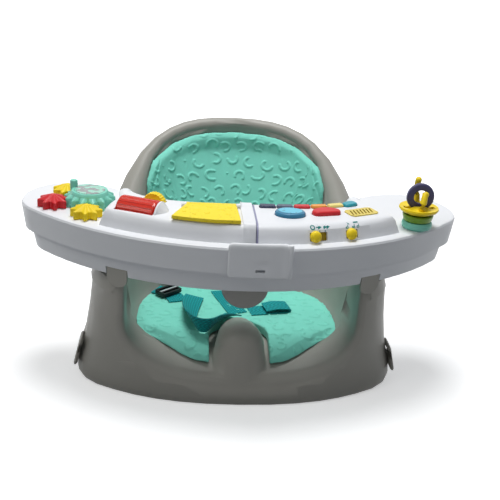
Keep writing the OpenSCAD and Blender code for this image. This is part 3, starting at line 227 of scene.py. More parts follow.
@dataclass(frozen=True)
class WovenWebbing(Stuff):
    """Polypropylene harness webbing: flat ribs across the band, a chevron along it, painted shade in the
    grooves between them, and a dull sheen.
    """

    colour: str
    rib_mm: float = 1.5
    cord_mm: float = 2.4

    def material(self) -> bpy.types.Material:
        """Makes the material; the band's UV map runs in millimetres, along and across."""
        mat, tree = self.fresh()
        split = add(tree, "ShaderNodeSeparateXYZ",
                    {"Vector": add(tree, "ShaderNodeUVMap", uv_map="UVMap").outputs["UV"]})
        # Chevron: the warp cords lean one way in the left half and the other in the right.
        mirror = add(tree, "ShaderNodeMath", {0: split.outputs["Y"]}, operation="ABSOLUTE")
        both = add(tree, "ShaderNodeCombineXYZ", {"X": split.outputs["X"], "Y": mirror.outputs[0]})
        # A wave's scale of 0.314 repeats once in each millimetre.
        ribs, cords = (add(tree, "ShaderNodeTexWave",
                           {"Vector": both.outputs[0], "Scale": 0.314 / repeat, "Distortion": stray,
                            "Detail": 0.0}, bands_direction=way).outputs["Fac"]
                       for repeat, stray, way in ((self.rib_mm, 0.3, "DIAGONAL"), (self.cord_mm, 0.2, "Y")))
        weave = add(tree, "ShaderNodeMath", {0: ribs, 1: cords}, operation="MULTIPLY").outputs[0]
        # The colour follows the weave's height: its low grooves go down to 0.42 of the colour, the weave's
        # own pattern with painted shade in the grooves.
        tone = add(tree, "ShaderNodeMix", {"Factor": weave, FIRST: dimmed(self.colour, 0.42),
                                           SECOND: linear(self.colour)}, data_type="RGBA")
        bump = add(tree, "ShaderNodeBump", {"Height": weave, "Distance": 0.35 * MM, "Strength": 0.8})
        feed(tree, tree.nodes["Principled BSDF"], {
            "Base Color": tone.outputs[MIXED], "Normal": bump.outputs["Normal"], "Roughness": 0.62,
            "IOR": 1.49, "Specular IOR Level": 0.2, "Sheen Weight": 0.06})
        return mat


@dataclass(frozen=True)
class ClearPlastic(Stuff):
    """Tinted polystyrene, moulded clear: what is inside shows through it, darker towards its edges."""

    colour: str
    clear: float = 0.6
    roughness: float = 0.12

    def material(self) -> bpy.types.Material:
        """Makes the material."""
        mat, tree = self.fresh()
        at = add(tree, "ShaderNodeTexCoord").outputs["Object"]
        # Haze in patches about 17 mm across.
        haze = add(tree, "ShaderNodeTexNoise", {"Vector": at, "Scale": 60.0, "Detail": 2.0}).outputs["Fac"]
        tone = add(tree, "ShaderNodeMix", {"Factor": haze, FIRST: linear(self.colour),
                                           SECOND: dimmed(self.colour, 0.8)}, data_type="RGBA")
        rough = add(tree, "ShaderNodeMapRange", {"Value": haze, "To Min": self.roughness - 0.04,
                                                 "To Max": self.roughness + 0.08})
        feed(tree, tree.nodes["Principled BSDF"], {
            "Base Color": tone.outputs[MIXED], "Roughness": rough.outputs["Result"], "IOR": 1.55,
            "Specular IOR Level": 0.25, "Transmission Weight": self.clear})
        return mat


@dataclass(frozen=True)
class DrawnSteel(Stuff):
    """Drawn steel wire, as hinge pins are: grey, with fine marks along its length."""

    colour: str = "#b9bcc0"
    roughness: float = 0.32

    def material(self) -> bpy.types.Material:
        """Makes the material."""
        mat, tree = self.fresh()
        at = add(tree, "ShaderNodeTexCoord").outputs["Object"]
        # Marks about 0.7 mm across, coarser than real ones so that they show.
        marks = add(tree, "ShaderNodeTexNoise",
                    {"Vector": at, "Scale": 1400.0, "Detail": 2.0}).outputs["Fac"]
        rough = add(tree, "ShaderNodeMapRange", {"Value": marks, "To Min": self.roughness - 0.08,
                                                 "To Max": self.roughness + 0.1})
        bump = add(tree, "ShaderNodeBump", {"Height": marks, "Distance": 0.01 * MM})
        feed(tree, tree.nodes["Principled BSDF"], {
            "Base Color": linear(self.colour), "Roughness": rough.outputs["Result"],
            "Normal": bump.outputs["Normal"], "Metallic": 1.0})
        return mat


@dataclass(frozen=True)
class MirrorFilm(Stuff):
    """Aluminised polyester film on a flat plate: a mirror with a slight waviness."""

    colour: str = "#dfe6ea"

    def material(self) -> bpy.types.Material:
        """Makes the material."""
        mat, tree = self.fresh()
        at = add(tree, "ShaderNodeTexCoord").outputs["Object"]
        # Waves about 11 mm long.
        wave = add(tree, "ShaderNodeTexNoise", {"Vector": at, "Scale": 90.0, "Detail": 1.0})
        bump = add(tree, "ShaderNodeBump", {"Height": wave.outputs["Fac"], "Distance": 0.1 * MM})
        feed(tree, tree.nodes["Principled BSDF"], {
            "Base Color": linear(self.colour), "Normal": bump.outputs["Normal"], "Metallic": 1.0,
            "Roughness": 0.06})
        return mat


@dataclass(frozen=True)
class PrintedLabel(Stuff):
    """Gloss label printed with loose rounded patches in three colours; a plain pattern of its own."""

    ground: str
    patch: str
    fleck: str
    patch_mm: float = 9.0

    def material(self) -> bpy.types.Material:
        """Makes the material."""
        mat, tree = self.fresh()
        at = add(tree, "ShaderNodeTexCoord").outputs["Object"]
        big = add(tree, "ShaderNodeTexNoise",
                  {"Vector": at, "Scale": 0.8 / (self.patch_mm * MM), "Detail": 0.0})
        edge = add(tree, "ShaderNodeMapRange",
                   {"Value": big.outputs["Fac"], "From Min": 0.5, "From Max": 0.52})
        # Flecks about 2.4 mm apart.
        small = add(tree, "ShaderNodeTexVoronoi", {"Vector": at, "Scale": 420.0})
        dot = add(tree, "ShaderNodeMapRange",
                  {"Value": small.outputs["Distance"], "From Min": 0.2, "From Max": 0.16})
        colour = linear(self.ground)
        for share, over in ((edge, self.patch), (dot, self.fleck)):
            colour = add(tree, "ShaderNodeMix", {"Factor": share.outputs["Result"], FIRST: colour,
                                                 SECOND: linear(over)}, data_type="RGBA").outputs[MIXED]
        feed(tree, tree.nodes["Principled BSDF"],
             {"Base Color": colour, "Roughness": 0.28, "Coat Weight": 0.3})
        return mat


class Finish(Enum):
    """Every finish of the seat, each matched to the photograph's colours."""

    SHELL = MouldedPlastic("shell_polypropylene", "#9d9b94", 0.42, 1.1, 0.03, 0.04)
    TAB = MouldedPlastic("tab_polypropylene", "#a3a09c", 0.46, 1.1, 0.03, 0.04)
    WHITE = MouldedPlastic("white_abs", "#e4e6ea", 0.36, 0.8, 0.012, 0.015)
    MINT = MouldedPlastic("mint_abs", "#7fd0bc", 0.38, 0.8, 0.02, 0.03)
    RED = MouldedPlastic("red_abs", "#cf1f28", 0.34, 0.8, 0.02, 0.04)
    YELLOW = MouldedPlastic("yellow_abs", "#f2d41c", 0.42, 0.8, 0.02, 0.03)
    FLAP = MouldedPlastic("yellow_abs_textured", "#f5dc30", 0.5, 1.4, 0.05, 0.04, 0.0, 0.22)
    RECESS = MouldedPlastic("recess_abs", "#a98e18", 0.5, 0.8, 0.02, 0.05)
    GREEN = MouldedPlastic("green_abs", "#6f9a1c", 0.36, 0.8, 0.02, 0.04)
    PURPLE = MouldedPlastic("purple_abs", "#38365c", 0.4, 0.8, 0.02, 0.04)
    LILAC = MouldedPlastic("lilac_abs", "#6f6e8c", 0.45, 0.8, 0.02, 0.04)
    NAVY = MouldedPlastic("navy_abs", "#232c50", 0.3, 0.8, 0.012, 0.03)
    SLATE = MouldedPlastic("slate_abs", "#47526a", 0.3, 0.8, 0.012, 0.03)
    ORANGE = MouldedPlastic("orange_abs", "#e59a3a", 0.3, 0.8, 0.012, 0.03)
    PALE = MouldedPlastic("pale_yellow_abs", "#e8d77c", 0.3, 0.8, 0.012, 0.03)
    BLUE = MouldedPlastic("blue_abs", "#17759b", 0.26, 0.8, 0.012, 0.03, 0.3)
    SKY = MouldedPlastic("sky_print", "#5bc0dc", 0.3, 0.8, 0.012, 0.03, 0.2, 0.6, 4.4)
    TEAL = MouldedPlastic("teal_abs", "#2f9bab", 0.32, 0.8, 0.012, 0.03)
    GOLD = MouldedPlastic("gold_abs", "#dcc75e", 0.36, 0.8, 0.012, 0.03)
    INK = MouldedPlastic("teal_ink", "#1a7a76", 0.5, 0.6, 0.004, 0.02)
    BLACK = MouldedPlastic("black_acetal", "#17181b", 0.42, 0.9, 0.02, 0.02)
    RUBBER = MouldedPlastic("foot_rubber", "#1d1f22", 0.72, 1.0, 0.03, 0.03)
    CONE = MouldedPlastic("speaker_cone", "#1c1d20", 0.7, 0.6, 0.03, 0.03)
    BOARD = MouldedPlastic("circuit_board", "#1f6b45", 0.35, 2.0, 0.02, 0.05, 0.3)
    FOAM = MouldedFoam("mint_foam", "#84dfcc")
    WEBBING = WovenWebbing("teal_webbing", "#10b2b6", 2.6, 3.2)
    CLEAR_RED = ClearPlastic("clear_red_styrene", "#f22c08", 0.3, 0.12)
    # Slate blue for the strip over the right pod's end beside the seam: painted shade of the chamfer and gap
    # there.
    SEAM = MouldedPlastic("painted_seam_shade_abs", "#8f90ad", 0.4, 0.8, 0.012, 0.02)
    BEAD = MouldedPlastic("orange_bead_styrene", "#ff7a2e", 0.25, 0.8, 0.008, 0.03, 0.3)
    STEEL = DrawnSteel("hinge_steel")
    MIRROR = MirrorFilm("mirror_film")
    PRINT = PrintedLabel("gear_label", "#85898a", "#8fcdb8", "#e9eef0", 6.5)

    @property
    def material(self) -> bpy.types.Material:
        """The material, made once."""
        return bpy.data.materials.get(self.value.name) or self.value.material()


# ------------------------------------------------------------------ making pieces


@dataclass
class Maker:
    """What every sub-assembly shares: taking CAD shapes, finishing meshes and placing them."""

    body: str

    def dress(self, finish: Finish, *nodes: str) -> None:
        """Gives CAD nodes that are shown as they are a finish.

        Args:
            finish: the finish.
            nodes: the CAD nodes.
        """
        for name in nodes:
            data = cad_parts[name].data
            data.materials.clear()
            data.materials.append(finish.material)

    def place(self, source: bmesh.types.BMesh, name: str, finish: Finish, slot: str,
              stands_for: Sequence[str] = (), angle: float = 35.0, bevel_mm: float = 0.0,
              body: str | None = None) -> bpy.types.Object:
        """Turns a bmesh into a finished piece on its CAD body.

        Args:
            source: the shape, in the shared frame; it is freed.
            name: the piece's name.
            finish: its finish.
            slot: the record's material slot; not used.
            stands_for: the CAD nodes it replaces.
            angle: edges sharper than this stay sharp, in degrees.
            bevel_mm: width of the rounded edges.
            body: another body than the sub-assembly's own.

        Returns:
            The placed object.
        """
        mesh = bpy.data.meshes.new(name)
        source.to_mesh(mesh)
        source.free()
        mesh.polygons.foreach_set("use_smooth", [True] * len(mesh.polygons))
        mesh.set_sharp_from_angle(angle=math.radians(angle))
        mesh.materials.append(finish.material)
        piece = bpy.data.objects.new(name, mesh)
        bpy.context.scene.collection.objects.link(piece)
        if bevel_mm:
            soft = piece.modifiers.new("soft_edges", "BEVEL")
            soft.width = bevel_mm * MM
            soft.segments = 2
            soft.limit_method = "ANGLE"
            soft.angle_limit = math.radians(angle)
            soft.harden_normals = False
            even = piece.modifiers.new("even_normals", "WEIGHTED_NORMAL")
            even.keep_sharp = True
        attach(piece, body or self.body)
        if stands_for:
            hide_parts(*stands_for)
        LOG.info("%s: %d faces on %s", name, len(mesh.polygons), body or self.body)
        return piece

    def solid(self, node: str, dissolve: float = 0.6) -> bmesh.types.BMesh:
        """A merged copy of a CAD node's mesh, its flat areas joined.

        Args:
            node: the CAD node.
            dissolve: faces that turn by less than this many degrees are joined.

        Returns:
            The copy as a bmesh.
        """
        bm = bmesh.new()
        bm.from_mesh(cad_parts[node].data)
        bmesh.ops.remove_doubles(bm, verts=bm.verts, dist=CAD_WELD)
        if dissolve:
            bmesh.ops.dissolve_limit(bm, angle_limit=math.radians(dissolve), verts=bm.verts, edges=bm.edges)
        return bm

    def slice_of(self, node: str, from_mm: float, to_mm: float, above_mm: float) -> bmesh.types.BMesh:
        """The part of a CAD node between two x and above a height, closed again.

        Args:
            node: the CAD node.
            from_mm: the lesser x.
            to_mm: the greater x.
            above_mm: the height.

        Returns:
            The slice as a bmesh.
        """
        bm = self.solid(node, 0)
        for at, away in ((mm(from_mm, 0, 0), (-1, 0, 0)), (mm(to_mm, 0, 0), (1, 0, 0)),
                         (mm(0, 0, above_mm), DOWN)):
            cut = bmesh.ops.bisect_plane(bm, geom=[*bm.verts, *bm.edges, *bm.faces], dist=1e-7, plane_co=at,
                                         plane_no=away, clear_outer=True)["geom_cut"]
            rims = [e for e in cut if isinstance(e, bmesh.types.BMEdge)]
            if rims:
                bmesh.ops.contextual_create(bm, geom=rims)
        bmesh.ops.recalc_face_normals(bm, faces=bm.faces)
        return bm

    def soften(self, node: str, finish: Finish, slot: str, bevel_mm: float = 0.6, angle: float = 35.0,
               body: str | None = None) -> bpy.types.Object:
        """Replaces a CAD node by the same shape with softly rounded edges.

        Args:
            node: the CAD node.
            finish: its finish.
            slot: the record's material slot.
            bevel_mm: width of the rounded edges.
            angle: edges sharper than this are rounded, in degrees.
            body: another body than the sub-assembly's own.

        Returns:
            The placed object.
        """
        return self.place(self.solid(node), node + "_soft", finish, slot, [node], angle, bevel_mm, body)


def stack(rings: Sequence[Sequence[Vector]]) -> bmesh.types.BMesh:
    """Raises an outline through rings of points, each ring with as many points as the first.

    Args:
        rings: the rings from the bottom to the top, in metres.

    Returns:
        The closed shape, with its faces looking outwards.
    """
    bm = bmesh.new()
    ring = bmesh.ops.create_circle(bm, cap_ends=True, segments=len(rings[0]), radius=1.0)["verts"]
    ring = sorted(ring, key=lambda v: math.atan2(v.co.y, v.co.x) % math.tau)
    for v, at in zip(ring, rings[0]):
        v.co = at
    for points in rings[1:]:
        pairs = set(zip(ring, ring[1:] + ring[:1]))
        edges = [e for e in bm.edges if tuple(e.verts) in pairs or tuple(e.verts)[::-1] in pairs]
        order = {tuple(v.co): k for k, v in enumerate(ring)}
        made = bmesh.ops.extrude_edge_only(bm, edges=edges)["geom"]
        fresh = [v for v in made if isinstance(v, bmesh.types.BMVert)]
        ring = sorted(fresh, key=lambda v: order[tuple(v.co)])
        for v, at in zip(ring, points):
            v.co = at
    bm.faces.new(ring)
    bmesh.ops.recalc_face_normals(bm, faces=bm.faces)
    return bm


def turned(profile: Sequence[tuple[float, float]], steps: int = 64) -> bmesh.types.BMesh:
    """Turns a profile round the Z axis.

    Args:
        profile: radius and height of its points, in millimetres.
        steps: how many flats the round has.

    Returns:
        The shape, with its faces looking outwards.
    """
    bm = bmesh.new()
    verts = [bm.verts.new(mm(r, 0, z)) for r, z in profile]
    edges = [bm.edges.new(pair) for pair in zip(verts, verts[1:])]
    bmesh.ops.spin(bm, geom=verts + edges, cent=(0, 0, 0), axis=(0, 0, 1), dvec=(0, 0, 0), angle=math.tau,
                   steps=steps, use_merge=True)
    bmesh.ops.remove_doubles(bm, verts=bm.verts, dist=WELD)
    bmesh.ops.recalc_face_normals(bm, faces=bm.faces)
    return bm


def baked(piece: bpy.types.Object) -> bpy.types.Mesh:
    """Applies all of a piece's modifiers, and gives its new mesh."""
    graph = bpy.context.evaluated_depsgraph_get()
    mesh = bpy.data.meshes.new_from_object(piece.evaluated_get(graph))
    piece.modifiers.clear()
    piece.data = mesh
    return mesh


def joined(shapes: Iterable[bmesh.types.BMesh]) -> bmesh.types.BMesh:
    """Puts several shapes into one, and frees them.

    Args:
        shapes: the shapes.

    Returns:
        All of them as one bmesh.
    """
    whole = bmesh.new()
    for shape in shapes:
        keep = bpy.data.meshes.new("keep")
        shape.to_mesh(keep)
        shape.free()
        whole.from_mesh(keep)
        bpy.data.meshes.remove(keep)
    return whole


def ease(t: float) -> float:
    """A smooth step from 0 to 1."""
    t = max(0.0, min(1.0, t))
    return t * t * (3 - 2 * t)


def between(at: float, table: Sequence[tuple[float, float]]) -> float:
    """Reads a value between the rows of a table."""
    return float(np.interp(at, [row[0] for row in table], [row[1] for row in table]))


def surface_of(node: str) -> BVHTree:
    """Makes a tree of a CAD node's surface, to find points on it.

    Args:
        node: the CAD node.

    Returns:
        The tree.
    """
    bm = bmesh.new()
    bm.from_mesh(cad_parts[node].data)
    tree = BVHTree.FromBMesh(bm)
    bm.free()
    return tree


def lay_on(bm: bmesh.types.BMesh, surface: BVHTree, towards: Vector, proud_mm: float) -> None:
    """Moves a flat mesh's vertices onto a surface.

    Args:
        bm: the flat mesh.
        surface: a tree of the surface.
        towards: the direction to move in.
        proud_mm: how far off the surface they stay.
    """
    for v in bm.verts:
        # Each ray starts 30 mm back.
        hit, normal, _, _ = surface.ray_cast(v.co - towards * 0.03, towards)
        if hit is not None:
            v.co = hit + normal * proud_mm * MM


# ------------------------------------------------------------------ shell


@dataclass
class Shell(Maker):
    """The moulded shell and its rubber feet."""

    body: str = "seat"
    half_mm: float = 187.0
    # How far the skirt spreads at each height, and where it starts and how soon it is full.
    flare: tuple[tuple[float, float], ...] = ((0, 9), (10, 9), (24, 7.5), (36, 4.5), (52, 0))
    flare_from_mm: float = 130.0
    flare_over_mm: float = 45.0
    # The share of their depth that the strap fins keep.
    fin: float = 0.5

    def build(self) -> None:
        """Makes the shell with its flared foot and dresses the feet."""
        bm = self.solid("seat_shell", 0)
        for v in bm.verts:
            side = math.copysign(1, v.co.x)
            out = abs(v.co.x) / MM
            spread = between(v.co.z / MM, self.flare) * ease((out - self.flare_from_mm) / self.flare_over_mm)
            fin = max(0, out - self.half_mm) * self.fin
            v.co.x = side * (min(out, self.half_mm) + spread + fin) * MM
        bmesh.ops.dissolve_limit(bm, angle_limit=math.radians(0.6), verts=bm.verts, edges=bm.edges)
        self.place(bm, "seat_shell_soft", Finish.SHELL, "shell_plastic", ["seat_shell"], 32.0)
        feet = [f"foot_{end}_{side}" for end in ("front", "back") for side in ("left", "right")]
        self.dress(Finish.RUBBER, *feet)


# ------------------------------------------------------------------ foam pads


@dataclass
class FoamPads(Maker):
    """The two foam pads, with an embossed pattern of open rings and dots."""

    body: str = "seat"
    voxel_mm: float = 2.0
    # The emboss: the rings' pitch, how far they stray from it, their size, and the share of dots.
    pitch_mm: float = 18.6
    stray: float = 0.34
    ring_mm: float = 5.6
    band_mm: float = 2.7
    depth_mm: float = 1.15
    half_arc_deg: tuple[float, float] = (84.0, 118.0)
    dots: float = 0.1
    # The seat pad: how far its sides go out, their gap to the wall, and the two ends of its crease.
    wider_mm: float = 14.0
    wall_gap_mm: float = 1.2
    crease: tuple[float, float, float, float] = (122.0, -73.0, 36.0, -141.0)
    # The back pad: how much further round its upper corners go, and the middle of its arc, in metres.
    corner: float = 0.12
    centre: float = -0.02

    def chance(self, cell: np.ndarray, k: float) -> np.ndarray:
        """A repeatable number from 0 to 1 for each cell."""
        return np.mod(np.sin(cell @ np.array([127.1, 311.7]) + 74.7 * k) * 43758.5453, 1.0)

    def relief(self, chart: np.ndarray) -> np.ndarray:
        """How far up the emboss each point of the pad is, from 0 to 1.

        Args:
            chart: points on the pad's face, two coordinates each, in millimetres.

        Returns:
            One number per point.
        """
        best = np.zeros(len(chart))
        cell = np.floor(chart / self.pitch_mm)
        least, most = self.half_arc_deg
        for dx in (-1, 0, 1):
            for dy in (-1, 0, 1):
                c = cell + (dx, dy)
                jitter = np.stack([self.chance(c, 1), self.chance(c, 2)], 1) - 0.5
                # Every other row is half a pitch further.
                row = np.stack([np.mod(c[:, 1], 2) * 0.5 - 0.25, np.zeros(len(c))], 1)
                p = chart - (c + 0.5 + self.stray * jitter + row) * self.pitch_mm
                turn = 2 * np.pi * self.chance(c, 3)
                reach = np.radians(least + (most - least) * self.chance(c, 4))
                angle = np.mod(np.arctan2(p[:, 1], p[:, 0]) - turn + np.pi, 2 * np.pi) - np.pi
                span = np.clip(angle, -reach, reach) + turn
                near = p - self.ring_mm * np.stack([np.cos(span), np.sin(span)], 1)
                away = np.where(self.chance(c, 5) < self.dots, np.hypot(*p.T) + 0.3, np.hypot(*near.T))
                best = np.maximum(best, np.clip(self.band_mm / 2 + 0.5 - away, 0, 1))
        return best * best * (3 - 2 * best)

    def spread(self, at: np.ndarray) -> np.ndarray:
        """Draws the seat pad's sides out towards the shell's walls, and its front less.

        Args:
            at: the pad's points, in metres.

        Returns:
            The same points, moved.
        """
        wall = surface_of("seat_shell")
        for k in np.nonzero(np.abs(at[:, 0]) > 0.05)[0]:
            x, y, z = at[k]
            side = math.copysign(1, x)
            hit = wall.ray_cast(Vector((side * 0.04, y, z + MM)), Vector((side, 0, 0)))[0]
            if hit is not None:
                share = ease((abs(x) / MM - 50) / 55) * ease((y / MM + 125) / 60)
                room = max(0.0, abs(hit.x) - self.wall_gap_mm * MM - abs(x))
                at[k, 0] += side * min(self.wider_mm * MM * share, room)
        return at

    def fuller(self, at: np.ndarray) -> np.ndarray:
        """Draws the back pad's upper corners out along the shell's wall.

        Args:
            at: the pad's points, in metres.

        Returns:
            The same points, moved.
        """
        wall = surface_of("seat_shell")
        for k in np.nonzero(np.abs(at[:, 0]) > 0.03)[0]:
            x, y, z = at[k]
            # It grows in from 168 to 202 mm high, and is gone again from 214 to 246 mm.
            grow = self.corner * ease((z / MM - 168) / 34) * (1 - ease((z / MM - 214) / 32))
            if grow < 0.002:
                continue
            middle = Vector((0, self.centre, z))
            old = math.atan2(x, y - self.centre)
            new = old * (1 + grow)
            hits = [wall.ray_cast(middle, Vector((math.sin(turn), math.cos(turn), 0)))[0]
                    for turn in (old, new)]
            if all(hit is not None for hit in hits):
                before, after = ((hit - middle).length for hit in hits)
                r = math.hypot(x, y - self.centre) + after - before
                at[k] = (r * math.sin(new), r * math.cos(new) + self.centre, z)
        return at

    def bent_down(self, at: np.ndarray) -> np.ndarray:
        """Bends the seat pad's lobes down in front of a straight crease, onto the moulded floor.

        Args:
            at: the pad's points, in metres.

        Returns:
            The same points, moved.
        """
        ax, ay, bx, by = self.crease
        length = math.hypot(bx - ax, by - ay)
        away = ((np.abs(at[:, 0]) / MM - ax) * (ay - by) + (at[:, 1] / MM - ay) * (bx - ax)) / length
        floor = surface_of("seat_shell")
        for k in np.nonzero(away > 0)[0]:
            hit = floor.ray_cast(Vector(at[k]) + mm(0, 0, 3), DOWN)[0]
            if hit is not None:
                # The foam is down to 0.3 of its height about 9 mm in front of the crease.
                at[k, 2] = hit.z + (at[k, 2] - hit.z) * max(0.3, 1 - 0.85 * away[k] / 11)
        return at

    def pad(self, node: str, chart: Callable[[np.ndarray], np.ndarray],
            inward: Callable[[np.ndarray], np.ndarray]) -> bpy.types.Object:
        """Makes one pad from its CAD solid: remeshed, eased and embossed.

        Args:
            node: the CAD node it replaces.
            chart: gives flat coordinates in millimetres for points in metres.
            inward: gives the direction that the pad's face looks, for the same points.

        Returns:
            The pad.
        """
        piece = self.place(self.solid(node, 0), node + "_foam", Finish.FOAM, "foam", [node], 60)
        even = piece.modifiers.new("even_mesh", "REMESH")
        even.mode = "VOXEL"
        even.voxel_size = self.voxel_mm * MM
        eased = piece.modifiers.new("ease", "SMOOTH")
        eased.factor, eased.iterations = 0.5, 2
        finer = piece.modifiers.new("finer", "SUBSURF")
        finer.levels = finer.render_levels = 1
        shaped = baked(piece)
        at, out = np.zeros((2, len(shaped.vertices) * 3))
        shaped.vertices.foreach_get("co", at)
        shaped.vertex_normals.foreach_get("vector", out)
        at, out = at.reshape(-1, 3), out.reshape(-1, 3)
        # Only the side that faces the child is embossed.
        face = np.clip(((out * inward(at)).sum(1) - 0.5) / 0.35, 0, 1)
        flat = chart(at)
        at = self.bent_down(self.spread(at)) if node == "seat_pad" else self.fuller(at)
        # Between the raised bands the foam is a touch uneven, by 0.15 mm.
        uneven = np.sin(at[:, 0] * 160) * np.sin(at[:, 1] * 140 + 1) * 0.15
        at = at + out * ((self.relief(flat) * self.depth_mm + uneven) * face * MM)[:, None]
        shaped.vertices.foreach_set("co", at.ravel())
        shaped.polygons.foreach_set("use_smooth", [True] * len(shaped.polygons))
        shaped.update()
        LOG.info("%s: %d faces after shaping", piece.name, len(shaped.polygons))
        return piece

    def build(self) -> None:
        """Makes both pads."""
        self.pad("seat_pad", lambda at: at[:, :2] / MM, lambda at: np.tile([0.0, 0.0, 1.0], (len(at), 1)))
        # A line round the back pad at half its height measures how far along the wall a point is.
        middle = np.array([0.0, self.centre])
        low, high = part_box("back_pad")
        ring = np.array([v.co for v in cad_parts["back_pad"].data.vertices])
        level = (low.z + high.z) / 2
        ring = ring[np.abs(ring[:, 2] - level) < 0.03][:, :2] - middle
        turn = np.arctan2(ring[:, 0], ring[:, 1])
        bins = np.linspace(turn.min(), turn.max(), 40)
        place = np.digitize(turn, bins)
        mean = np.array([ring[place == k].mean(0) for k in sorted(set(place))])
        along = np.concatenate([[0], np.cumsum(np.hypot(*np.diff(mean, axis=0).T))])
        turns = np.arctan2(mean[:, 0], mean[:, 1])

        def unrolled(at: np.ndarray) -> np.ndarray:
            """Distance along the wall, and height, in millimetres."""
            flat = at[:, :2] - middle
            return np.stack([np.interp(np.arctan2(flat[:, 0], flat[:, 1]), turns, along), at[:, 2]], 1) / MM

        def to_middle(at: np.ndarray) -> np.ndarray:
            """Towards the seat's middle line."""
            flat = middle - at[:, :2]
            flat = flat / np.maximum(np.hypot(flat[:, 0], flat[:, 1]), 1e-6)[:, None]
            return np.concatenate([flat, np.zeros((len(at), 1))], 1)

        self.pad("back_pad", unrolled, to_middle)


# ------------------------------------------------------------------ harness


@dataclass
class Harness(Maker):
    """The lap and crotch straps with their buckle and adjuster."""

    body: str = "seat"
    width_mm: float = 25.0
    thick_mm: float = 1.5
    cup_mm: float = 0.3
    # The height of the seat pad that the straps lie on.
    lying_mm: float = 66.0

    def stops(self, rows: Iterable[Sequence[float]]) -> list[tuple[Vector, float]]:
        """Lays the stops of a route on the pad.

        Args:
            rows: x, y, and where needed the band's lean in degrees and its lift in millimetres.

        Returns:
            Points with the band's lean.
        """
        found = []
        for x, y, *rest in rows:
            lean, up = (list(rest) + [0, 0])[:2]
            z = self.lying_mm + up + self.width_mm / 2 * abs(math.sin(math.radians(lean)))
            found.append((mm(x, y, z), lean))
        return found

    def band(self, name: str, node: str, stops: list[tuple[Vector, float]], steps: int = 12,
             side: Vector | None = None) -> bpy.types.Object:
        """Weaves a flat band along a route.

        Args:
            name: the piece's name.
            node: the CAD node it replaces.
            stops: points and the band's lean in degrees.
            steps: rows between two stops.
            side: the direction across the band, where it doesn't follow from the route.

        Returns:
            The band.
        """
        points = [at for at, _ in stops]
        rows = (len(points) - 1) * steps
        bm = bmesh.new()
        uv = bm.loops.layers.uv.new("UVMap")
        bmesh.ops.create_grid(bm, x_segments=rows, y_segments=6, size=0.5, calc_uvs=True)
        line, lean = [], []
        for k in range(rows + 1):
            i = min(k // steps, len(points) - 2)
            t = k / steps - i
            # A smooth curve through all the points.
            a, b, c, d = (points[max(0, min(j, len(points) - 1))] for j in (i - 1, i, i + 1, i + 2))
            line.append(0.5 * (2 * b + (c - a) * t + (2 * a - 5 * b + 4 * c - d) * t * t
                               + (3 * b - a - 3 * c + d) * t ** 3))
            lean.append(stops[i][1] * (1 - t) + stops[i + 1][1] * t)
        run = [0.0]
        for p, q in zip(line, line[1:]):
            run.append(run[-1] + (q - p).length)
        frames = []
        for k in range(rows + 1):
            along = (line[min(k + 1, rows)] - line[max(k - 1, 0)]).normalized()
            flat = side or Vector((0, 0, 1)).cross(along).normalized()
            rise = along.cross(flat)
            a = math.radians(lean[k])
            frames.append((flat * math.cos(a) + rise * math.sin(a), rise * math.cos(a) - flat * math.sin(a)))
        where = {v: (round((v.co.x + 0.5) * rows), v.co.y) for v in bm.verts}
        for face in bm.faces:
            for loop in face.loops:
                k, across = where[loop.vert]
                loop[uv].uv = (run[k] / MM, across * self.width_mm)
        for v, (k, across) in where.items():
            # The band cups a little between its two thicker edges.
            cup = (across * across * 4 - 0.5) * self.cup_mm * MM
            v.co = line[k] + frames[k][0] * across * (self.width_mm - 0.6) * MM + frames[k][1] * cup
        bmesh.ops.recalc_face_normals(bm, faces=bm.faces)
        bmesh.ops.solidify(bm, geom=bm.faces[:], thickness=self.thick_mm * MM)
        bmesh.ops.recalc_face_normals(bm, faces=bm.faces)
        return self.place(bm, name, Finish.WEBBING, "webbing", [node], 50, 0.35)

    def build(self) -> None:
        """Makes the straps and dresses the fittings."""
        self.band("crotch_webbing", "crotch_strap", self.stops([
            (-4, -56, 8), (-10, -65, 18, 0.5), (-18, -79, 38, 0.3), (-27, -95, 58, 0.3),
            (-37, -106, 66, -0.5), (-49, -105, 68, -0.5), (-57, -93, 64, 0.3), (-60, -74, 52), (-59, -50, 36),
            (-56, -26, 20), (-52, -4, 8)]), 6)
        self.band("waist_webbing_left", "waist_strap_left", self.stops([
            (-103, 22), (-96, 18), (-88, 12), (-78, 0), (-73, -14)]), 8)
        self.band("waist_webbing_right", "waist_strap_right", self.stops([
            (-18, 22), (-14, 8), (-6, -18), (0, -38), (3, -46, 0, 0.4)]), 8)
        # The spare end is folded over itself.
        turn = shift(17, -39, self.lying_mm - 0.8) @ swing(12, "Z")
        fold = [(turn @ mm(x, 0, z), 0.0) for x, z in
                ((0, 0.9), (26, 0.9), (46, 0.9), (50.6, 1.5), (51.6, 3.0), (49, 4.2), (34, 5.4), (20, 3.4))]
        self.band("webbing_end", "strap_end", fold, 6, (turn.to_3x3() @ Vector((0, 1, 0))))
        for node in ("buckle_body", "buckle_tongue", "strap_adjuster"):
            self.soften(node, Finish.BLACK, "black_plastic", 0.5)
        bar = turned([(0, -14.6), (1.2, -14.6), (1.5, -14.2), (1.5, 14.2), (1.2, 14.6), (0, 14.6)], 24)
        put(bar, shift(-86, 9, self.lying_mm + 5.4) @ swing(-48, "Z") @ swing(90, "X"))
        self.place(bar, "adjuster_bar", Finish.STEEL, "pin_steel")


# ------------------------------------------------------------------ tray


@dataclass
class Tray(Maker):
    """The tray that carries the pods, with its grey centre tab and release tabs."""

    body: str = "tray"

    def build(self) -> None:
        """Makes the tray's pieces with soft edges."""
        self.soften("tray", Finish.WHITE, "white_plastic", 0.5)
        self.soften("tray_tab", Finish.TAB, "grey_plastic", 1.5)
        for side in ("left", "right"):
            self.soften(f"release_tab_{side}", Finish.SHELL, "grey_plastic", 1.2, body=f"release_tab_{side}")


# ------------------------------------------------------------------ left pod


